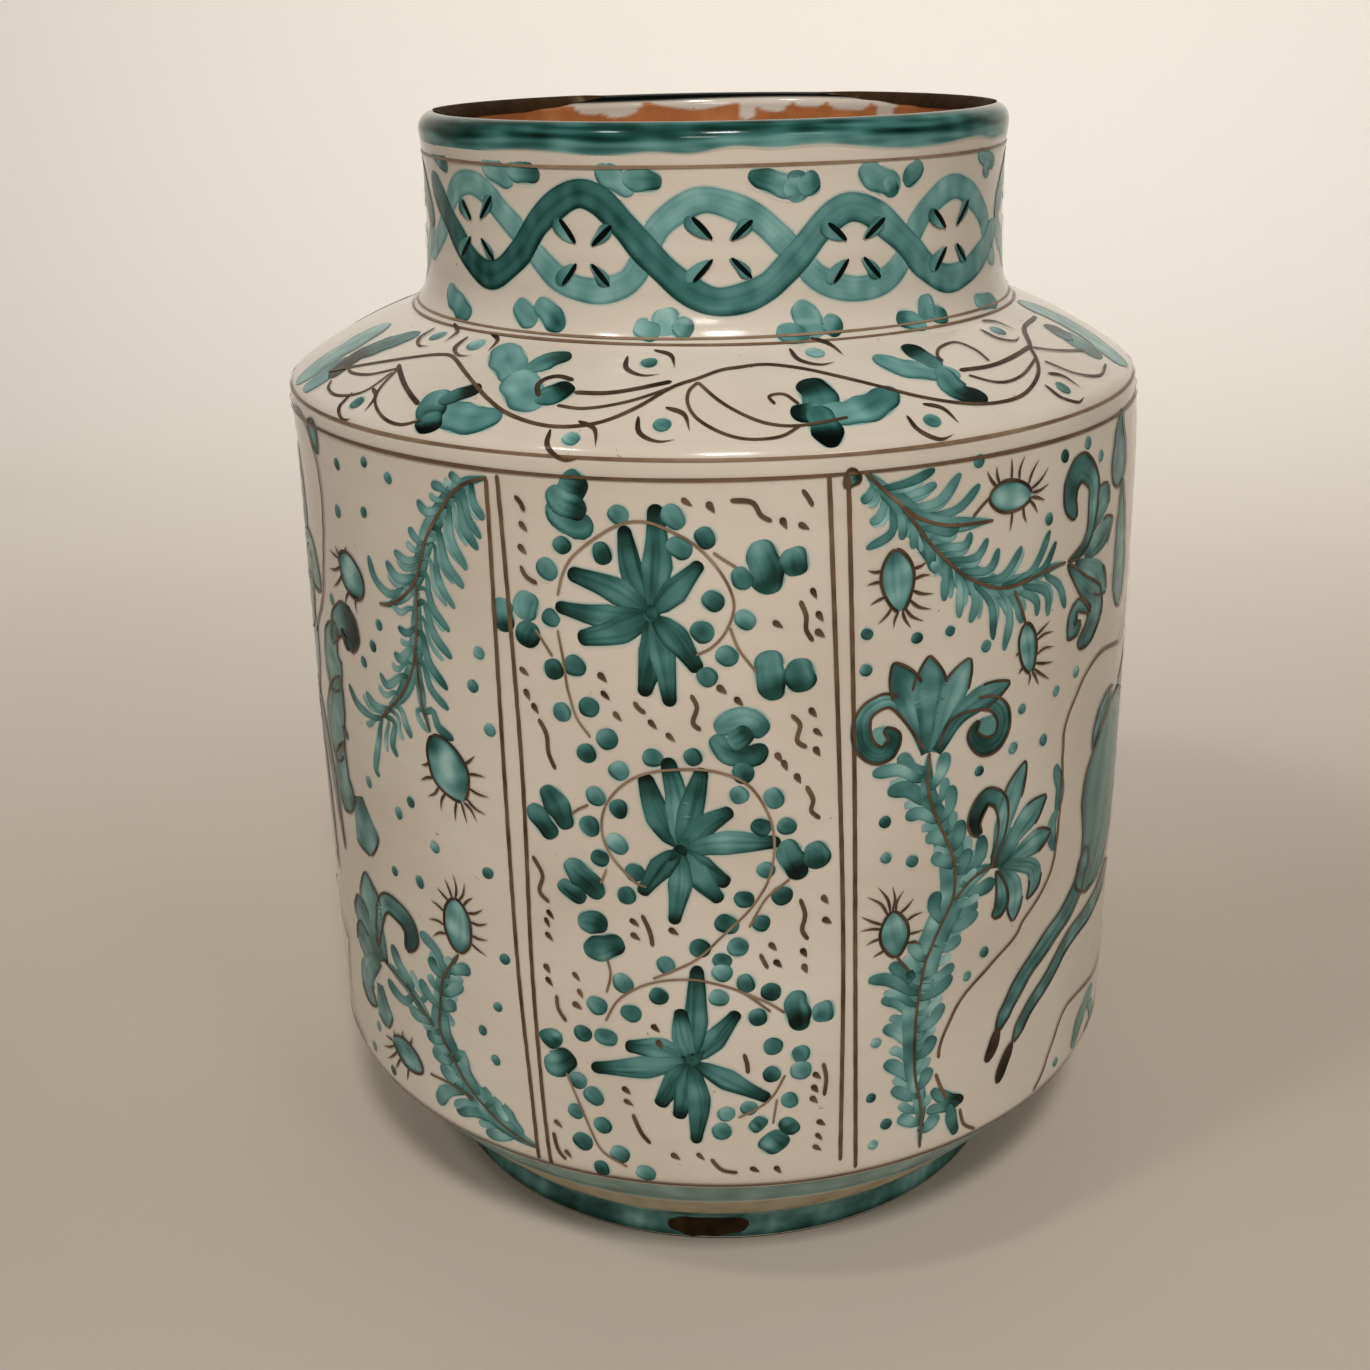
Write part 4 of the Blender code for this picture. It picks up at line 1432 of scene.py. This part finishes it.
# Thistle buds: base, tip, width in mm, and where the bristles end
BUDS = (
    (
        (364, 596), (340, 554), 10.5,
        (
            (330, 549), (336, 545), (347, 546), (353, 556), (330, 568), (334, 587), (346, 606),
            (358, 614),
        ),
    ),
    (
        (433, 735), (464, 801), 12.5,
        (
            (421, 780), (428, 796), (442, 811), (456, 822), (468, 824), (478, 822), (488, 815),
            (491, 797), (487, 777), (476, 755), (422, 764),
        ),
    ),
    (
        (460, 952), (456, 898), 9.6,
        (
            (445, 877), (453, 873), (465, 882), (474, 897), (437, 886), (431, 899), (429, 918),
            (484, 909), (489, 923), (489, 940), (488, 956), (433, 936),
        ),
    ),
    (
        (424, 1070), (394, 1038), 9.0,
        (
            (386, 1034), (394, 1029), (403, 1029), (384, 1045), (388, 1058), (397, 1069), (413, 1036),
            (408, 1080),
        ),
    ),
    (
        (989, 497), (1031, 494), 7.6,
        (
            (996, 465), (1011, 457), (1025, 454), (1039, 458), (1048, 466), (1049, 482), (1045, 500),
            (1037, 513), (1026, 523), (1009, 532), (986, 470),
        ),
    ),
    (
        (895, 549), (900, 611), 8.0,
        (
            (866, 585), (869, 605), (877, 624), (893, 628), (911, 628), (924, 621), (932, 609),
            (934, 593), (931, 574), (928, 560), (867, 570),
        ),
    ),
    (
        (1025, 623), (1030, 672), 6.4,
        (
            (1050, 619), (1053, 631), (1053, 646), (1053, 661), (1049, 679), (1038, 685), (1027, 686),
            (1014, 656), (1017, 674),
        ),
    ),
    (
        (896, 956), (892, 911), 7.6,
        (
            (877, 886), (892, 885), (904, 889), (914, 897), (923, 911), (924, 929), (866, 896),
            (860, 916), (859, 931), (865, 945), (872, 957), (922, 944),
        ),
    ),
)
# Lobes of the palmettes, outlined towards their tips: path, width in mm and how far the end pools
PALMETTES = (
    (((928, 752), (914, 706), (893, 662)), 8.4, 0.1),
    (((930, 752), (930, 700), (929, 655)), 9.0, 0.1),
    (((933, 752), (948, 704), (970, 657)), 8.0, 0.1),
    (((936, 752), (964, 710), (1010, 681)), 6.6, 0.1),
    (((994, 868), (1006, 814), (1025, 760)), 7.4, 0.1),
    (((997, 868), (1020, 828), (1046, 794)), 7.4, 0.1),
    (((1000, 870), (1024, 850), (1050, 830)), 7.0, 0.1),
    (((1000, 868), (1014, 886), (1012, 921)), 6.0, 0.1),
    (((1004, 864), (1030, 866), (1034, 880), (1026, 899)), 5.4, 0.2),
    (((384, 962), (374, 916), (366, 871)), 13, 0.1),
    (((382, 958), (366, 926), (358, 893)), 12, 0.1),
    (((380, 962), (366, 944), (360, 919)), 11, 0.15),
    (((379, 958), (368, 972), (370, 990), (378, 1006)), 10, 0.1),
    (((380, 984), (384, 1006), (389, 1028)), 9, 0.1),
    (((358, 796), (364, 824), (372, 856)), 15, 0.15),
    (((1090, 530), (1100, 506), (1108, 482)), 9.0, 0.1),
    (((1084, 556), (1098, 540), (1112, 517)), 8.0, 0.1),
    (((1074, 566), (1092, 572), (1105, 590)), 8.0, 0.2),
)
# Scrolls and sprays outlined all along: path, width in mm and how far the end pools
SCROLLS = (
    (((318, 454), (314, 436), (310, 418)), 8.0, 0.2),
    (((333, 642), (338, 622), (348, 624), (351, 652)), 12, 0.5),
    (((337, 626), (332, 642), (334, 665), (341, 688)), 17, 0.1),
    (((341, 678), (337, 711), (338, 734), (345, 754)), 20, 0.1),
    (((344, 742), (343, 770), (347, 792), (352, 812)), 15, 0.2),
    (((378, 946), (384, 904), (402, 914), (412, 934), (408, 950)), 7.4, 0.45),
    (((846, 488), (850, 480), (858, 472)), 4.4, 0.5),
    (
        (
            (1067, 562), (1082, 548), (1090, 528), (1093, 502), (1093, 480), (1082, 467), (1072, 482),
            (1070, 502), (1075, 518),
        ),
        7.6, 0.3,
    ),
    (((1067, 564), (1082, 584), (1096, 600), (1089, 628), (1077, 646)), 8.6, 0.2),
    (((1090, 612), (1076, 606), (1071, 632), (1080, 622)), 5.0, 0.3),
    (((1121, 408), (1120, 440), (1118, 486)), 14, 0.1),
    (((1122, 478), (1120, 540), (1118, 604)), 14, 0.1),
    (((992, 868), (1002, 826), (1000, 802), (987, 796), (977, 811), (974, 826), (980, 835)), 5.4, 0.5),
    (((996, 870), (1001, 892), (1000, 906), (992, 917)), 5.2, 0.4),
)
# Volutes of the large palmette, with the shares of the way where their right and left outlines begin
VOLUTES = (
    (
        (
            (926, 750), (908, 718), (890, 700), (866, 712), (861, 735), (869, 751), (884, 754),
            (894, 738), (884, 728),
        ),
        5.2, 0.35, 0.42, 0.05,
    ),
    (
        (
            (936, 750), (946, 720), (966, 706), (992, 703), (1003, 716), (999, 737), (984, 746),
            (972, 735), (978, 720),
        ),
        5.2, 0.35, 0.05, 0.42,
    ),
)
# Small sprays and the hearts of the scrolls, with no outline
SPRAYS = (
    (((868, 738), (879, 741), (892, 738)), 7.0, 0.0),
    (((974, 730), (986, 730), (998, 726)), 7.0, 0.0),
    (((928, 748), (930, 722), (932, 700)), 9.0, 0.0),
    (((994, 866), (1006, 846), (1018, 830)), 8.0, 0.0),
    (((1055, 765), (1060, 790), (1056, 812)), 4.0, 0.1),
    (((1056, 810), (1051, 830), (1054, 850)), 4.0, 0.1),
    (((931, 1090), (946, 1098), (963, 1100)), 3.8, 0.5),
    (((926, 1111), (942, 1107), (959, 1103)), 3.6, 0.4),
    (((950, 1104), (951, 1118), (955, 1134)), 3.4, 0.3),
    (((1092, 985), (1080, 1016), (1071, 1049)), 7.0, 0.1),
    (((1088, 1000), (1090, 1016), (1084, 1030)), 5.0, 0.2),
)
PANEL_CONTOURS = (
    ((295, 404), (304, 420), (316, 457), (322, 492), (324, 527), (324, 563), (323, 600), (317, 631)),
    ((349, 940), (353, 1001), (367, 1042)),
    (
        (1118, 641), (1102, 650), (1087, 670), (1076, 694), (1065, 724), (1062, 754), (1061, 785),
        (1054, 854), (1043, 887), (1023, 919), (1015, 935), (989, 965), (963, 995), (948, 1023),
        (939, 1047), (938, 1058),
    ),
    ((1106, 945), (1093, 971), (1076, 993), (1063, 1010), (1052, 1041), (1041, 1073), (1032, 1091)),
    ((935, 1073), (940, 1086), (946, 1097)),
    ((959, 1108), (963, 1123), (974, 1128)),
)
PANEL_DOTS = (
    (337, 464), (364, 462), (388, 478), (338, 511), (364, 512), (332, 599), (479, 653), (473, 686),
    (373, 646), (364, 662), (379, 625), (490, 730), (369, 782), (411, 802), (399, 813), (435, 847),
    (395, 871), (420, 882), (488, 873), (505, 959), (498, 1007), (483, 1030), (496, 1060), (379, 1026),
    (375, 1046), (394, 1070), (979, 461), (1065, 456), (1088, 443), (1101, 456), (1049, 519),
    (867, 634), (917, 638), (950, 631), (986, 646), (866, 670), (1056, 691), (1022, 709), (1076, 672),
    (935, 567), (1013, 748), (1043, 740), (979, 771), (885, 822), (886, 858), (912, 861), (984, 952),
    (967, 976), (876, 1043), (871, 1098), (886, 1124), (873, 1145), (1055, 1062),
)


def bud(green, brown, base, tip, width_mm, bristles):
    """A thistle bud: a pale green heart in a brown outline, with bristles round it."""
    base, tip = px((base, tip))
    path = np.stack((base, (base + tip) / 2, tip))
    tone = (0.46, 0.2, 0.14, 0.24)
    edges = stroke(green, path, width_mm, bud_width, tone, edge=0.25, uneven=0.16, streaks=0.12)
    for edge in edges:
        stroke(brown, edge[::2], 0.8, even_width, (0.7, 0.75))
    outline = np.concatenate(edges)
    radius = np.interp(base[1], WAY, OUTSIDE[:, 0])
    for end in px(bristles):
        away = np.hypot(*((outline - end) * (radius, 1.0)).T)
        root = outline[away.argmin()]
        sideways = (end - root)[::-1] * (1 / radius, -radius)
        middle = root * 0.55 + end * 0.45 + sideways * rng.uniform(-0.12, 0.12)
        stroke(brown, np.stack((root, middle, end)), 0.8, drop_width, (0.72, 0.45), uneven=0.06)


# Strokes of a frond whose roots are closer than this in the view get a shorter one between them
NEIGHBOUR_PX = 40
# A stroke that begins this close to its rib in the view begins on it
ON_RIB_PX = 4
# Width of the wash that the strokes of each rib leave along it, none on bare stems
RIB_WASH_MM = (5, 5, 3, 8, 4, 0, 7, 4, 0, 0, 9, 5, 0)
RIB_POINTS = np.concatenate([np.linspace(a, b, 9) for rib in RIBS for a, b in zip(rib, rib[1:])])


def from_rib(path):
    """The path of a frond's stroke, begun on the nearest point of a rib."""
    path = np.array(path, float)
    root = RIB_POINTS[np.hypot(*(RIB_POINTS - path[0]).T).argmin()]
    rest = path[1:] if np.hypot(*(root - path[0])) < ON_RIB_PX else path
    return np.concatenate(((root,), rest))


def between(path, after, reach):
    """A shorter stroke half way between two neighbours."""
    count = min(len(path), len(after))
    middle = (np.array(path[:count], float) + np.array(after[:count], float)) / 2
    return middle[0] + (middle - middle[0]) * reach


def fronds(green, brown):
    """Ferny leaves on a thin brown rib: long comb strokes above, and close lobed leaflets below."""
    for rib, width_mm in zip(RIBS, RIB_WASH_MM):
        if width_mm:
            stroke(green, px(rib), width_mm, petal_width, (0.4, 0.26, 0.3), edge=0.15, uneven=0.12)
    for paths, inner_mm, width_mm in ((COMBS, 1.5, 2.3), (LEAFLETS, 2.6, 3.8)):
        for path, after in zip(paths, (*paths[1:], paths[0])):
            if np.hypot(*(np.array(path[0]) - after[0])) < NEIGHBOUR_PX:
                inner = px(from_rib(between(path, after, 0.75)))
                stroke(green, inner, inner_mm, comb_width, (0.45, 0.16, 0.1), edge=0.12, uneven=0.1)
            deep = rng.uniform(-0.08, 0.12)
            tone = (0.55, 0.24 + deep, 0.12 + deep, 0.2 + deep)
            size = width_mm * rng.uniform(0.88, 1.12)
            stroke(green, px(from_rib(path)), size, comb_width, tone, edge=0.2, uneven=0.08, pool=0.2)
    lines(brown, RIBS, width_mm=0.8, tone=0.45)


# The hare: its outlined limbs in the view and, in degrees and millimetres of height, those round the side
HARE_TAIL = ((1092, 750), (1100, 716), (1112, 684))
HARE_LEGS = (
    (((1087, 846), (1074, 894), (1047, 939), (1023, 975), (1004, 1012), (996, 1032)), 8.4),
    (((1106, 860), (1092, 902), (1068, 938), (1048, 976), (1028, 1008), (1012, 1042)), 7.2),
)
HARE_FEET = (((997, 1027), (992, 1046), (985, 1062)), ((1011, 1041), (1003, 1062), (996, 1083)))
HARE_HAUNCH = (
    ((64, 150), (58, 141), (55.3, 135), (54.6, 126.7), (55.6, 118), (55.5, 110), (54.6, 102), (58, 97)),
    ((64, 150), (70, 149), (76, 141), (79, 128), (76, 113), (70, 103), (64, 97.5), (58, 97)),
)
HARE_BODY = (
    ((66, 128), (65, 140), (69, 152), (78, 159), (88, 164), (97, 172), (103, 181), (109, 182)),
    ((66, 128), (70, 114), (78, 110), (88, 117), (97, 129), (106, 144), (112, 164), (109, 182)),
)
HARE_FAR = (
    (((104, 166), (108, 180), (110, 192)), 15, bud_width),
    (((105, 188), (111, 190), (117, 184)), 14, bud_width),
    (((107, 193), (104, 204), (100, 216)), 5, petal_width),
    (((110, 194), (109, 206), (107, 219)), 5, petal_width),
    (((102, 146), (109, 124), (112, 96)), 7, drop_width),
    (((106, 152), (114, 132), (118, 108)), 6.4, drop_width),
)
HARE_EYE = ((110.6, 190), (111.6, 190))
HARE_SURROUND = (
    ((67.1, 164), (73, 172), (80, 180), (87, 190), (93, 204), (98, 219), (101, 226)),
    ((75, 61), (84, 66), (93, 74), (101, 82), (108, 80), (115, 76)),
)


def hare(green, brown):
    """A running hare, outlined in brown: haunch and hind legs in the view, and the rest round the side."""
    for sides, tone, start in ((HARE_BODY, (0.16, 0.26), 2), (HARE_HAUNCH, (0.3, 0.38), 0)):
        fill(green, *[deg(path) for path in sides], tone)
        for path in sides:
            stroke(brown, deg(path[start:]), 0.9, even_width, (0.5, 0.6))
    limbs = [(px(HARE_TAIL), 6.4, petal_width)]
    limbs += [(px(path), width, limb_width) for path, width in HARE_LEGS]
    limbs += [(deg(path), width, shape) for path, width, shape in HARE_FAR]
    for path, width_mm, shape in limbs:
        edges = stroke(green, path, width_mm, shape, (0.4, 0.3, 0.42), edge=0.2, uneven=0.1, streaks=0.16)
        for edge in edges:
            stroke(brown, edge[::2], 0.8, even_width, (0.6, 0.7))
    lines(brown, HARE_FEET, width_mm=4.0, tone=0.8, shape=lobe_width)
    stroke(brown, deg(HARE_EYE), 1.8, round_width, (0.95, 0.95))
    for path in HARE_SURROUND:
        stroke(brown, deg(path), 1.0, even_width, (0.4, 0.45))


def outlined(green, brown, rows, shape, start):
    """Green strokes with a brown outline along both edges from a share of the way to the end."""
    for path, width_mm, pool, *starts in rows:
        deep = rng.uniform(-0.08, 0.08)
        tone = (0.56, 0.3 + deep, 0.2 + deep, 0.26 + deep)
        depth = {"edge": 0.24, "uneven": 0.1, "pool": pool, "streaks": 0.14}
        edges = stroke(green, px(path), width_mm, shape, tone, **depth)
        for edge, begin in zip(edges, starts or (start, start)):
            stroke(brown, edge[int(begin * len(edge)) :: 2], 0.7, even_width, (0.6, 0.7))


def side_panels():
    """The panel between the strips: fronds, thistle buds, palmettes, scrolls, dots and the hare."""
    frond_layers = paint_set("frond", twice=True)
    halo, green, brown = paint_set("panel", twice=True)
    lines(brown, PANEL_CONTOURS, width_mm=1.0, tone=0.35)
    fronds(*frond_layers[1:])
    dabs(green, SPRAYS, tone=0.22)
    outlined(green, brown, SCROLLS, dab_width, start=0.05)
    outlined(green, brown, VOLUTES, dab_width, start=0.05)
    outlined(green, brown, PALMETTES, leaf_width, start=0.6)
    for row in BUDS:
        bud(green, brown, *row)
    spots(green, PANEL_DOTS, size_mm=2.8, tone=0.3)
    hare(green, brown)
    for layer in (*frond_layers, halo, green, brown):
        layer.build()


side_panels()

# The floor and the wall that it sweeps up into, in metres: ends, sweep, width and points along each
FLOOR_FRONT = -2
FLOOR_BACK = 0.75
FLOOR_ROWS = 12
SWEEP = 0.35
SWEEP_ROWS = 14
WALL_TOP = 2.4
FLOOR_WIDTH = 4.8
FLOOR_COLUMNS = 9
# Its colours, and where it begins to turn from the floor's to the wall's
FLOOR_STOPS = ((0.3, srgb(186, 173, 158)), (0.7, srgb(193, 181, 166)))
WALL_COLOUR = srgb(240, 235, 227)
WALL_COLOUR_START = 0.1


def floor_material():
    """Matt and pale, lighter towards the wall."""
    material = bpy.data.materials.new("pale_floor")
    material.use_nodes = True
    tree = material.node_tree
    shader = tree.nodes["Principled BSDF"]
    shader.inputs["Roughness"].default_value = 0.8
    place = node(tree, "ShaderNodeTexCoord")
    parts = node(tree, "ShaderNodeSeparateXYZ")
    share = node(tree, "ShaderNodeMapRange")
    share.inputs["From Min"].default_value = WALL_COLOUR_START
    share.inputs["From Max"].default_value = FLOOR_BACK + SWEEP
    tree.links.new(place.outputs["Object"], parts.inputs["Vector"])
    tree.links.new(parts.outputs["Y"], share.inputs["Value"])
    floor_colour = ramp(tree, noise(tree, 3, 2), FLOOR_STOPS)
    colour = mixed(tree, share.outputs["Result"], floor_colour, WALL_COLOUR)
    tree.links.new(colour, shader.inputs["Base Color"])
    return material


def surroundings():
    """A plain pale floor that sweeps up into a lighter wall behind the jar."""
    turn = np.linspace(0, math.pi / 2, SWEEP_ROWS)[1:]
    flat = np.linspace(FLOOR_FRONT, FLOOR_BACK, FLOOR_ROWS)
    depth = np.concatenate((flat, FLOOR_BACK + SWEEP * np.sin(turn), (FLOOR_BACK + SWEEP,)))
    rise = np.concatenate((np.zeros(FLOOR_ROWS), SWEEP * (1 - np.cos(turn)), (WALL_TOP,)))
    side = np.linspace(-FLOOR_WIDTH / 2, FLOOR_WIDTH / 2, FLOOR_COLUMNS)
    points = [(x, y, z) for y, z in zip(depth, rise) for x in side]
    faces = quads(np.arange(len(points)).reshape(len(depth), len(side)))
    floor = surface("floor", points, faces, floor_material())


# Soft boxes: name, place, the point they face, watts, width, height and colour
JAR_MIDDLE = (0, 0, 0.15)
WARM = (1.0, 0.97, 0.925)
PALE = (1.0, 0.98, 0.95)
LAMPS = (
    ("key", (-0.1, -1.3, 0.85), JAR_MIDDLE, 3.4, 0.3, 0.2, WARM),
    ("side", (-0.75, -0.62, 1.45), JAR_MIDDLE, 3.8, 0.14, 0.14, WARM),
    ("fill", (0.7, -1.0, 0.9), JAR_MIDDLE, 1.7, 0.3, 0.2, WARM),
    ("top", (0.1, -1.1, 1.5), JAR_MIDDLE, 15.0, 0.25, 0.2, PALE),
    ("wall", (0.3, 0.35, 0.9), (0.25, 1.1, 0.6), 7.4, 2.0, 0.3, PALE),
)
ROOM_COLOUR = (0.9, 0.88, 0.85, 1)
ROOM_STRENGTH = 0.1
NEAR_CLIP = 0.02


def lamp(name, place, aim, power, width, height, colour):
    """A soft box that faces a point."""
    light = bpy.data.lights.new(name, "AREA")
    light.shape = "RECTANGLE"
    light.size = width
    light.size_y = height
    light.energy = power
    light.color = colour
    holder = bpy.data.objects.new(name, light)
    holder.location = place
    holder.rotation_mode = "QUATERNION"
    holder.rotation_quaternion = (Vector(aim) - Vector(place)).to_track_quat("-Z", "Y")
    bpy.context.scene.collection.objects.link(holder)


def light_and_camera():
    """Soft light from above and in front, a lit wall, and the camera of the view."""
    for row in LAMPS:
        lamp(*row)
    world = bpy.data.worlds.new("room")
    world.use_nodes = True
    background = world.node_tree.nodes["Background"]
    background.inputs["Color"].default_value = ROOM_COLOUR
    background.inputs["Strength"].default_value = ROOM_STRENGTH
    bpy.context.scene.world = world
    camera = bpy.data.cameras.new("view")
    camera.sensor_width = SENSOR_MM
    camera.lens = SENSOR_MM * FOCAL_PX / FRAME_PX
    camera.clip_start = NEAR_CLIP
    holder = bpy.data.objects.new("view", camera)
    turn = np.eye(4)
    turn[:3, 0], turn[:3, 1], turn[:3, 2], turn[:3, 3] = RIGHT, UP, -FORWARD, CAMERA
    holder.matrix_world = Matrix(turn)
    bpy.context.scene.collection.objects.link(holder)
    bpy.context.scene.camera = holder
    bpy.context.scene.view_settings.view_transform = "Standard"


surroundings()
light_and_camera()
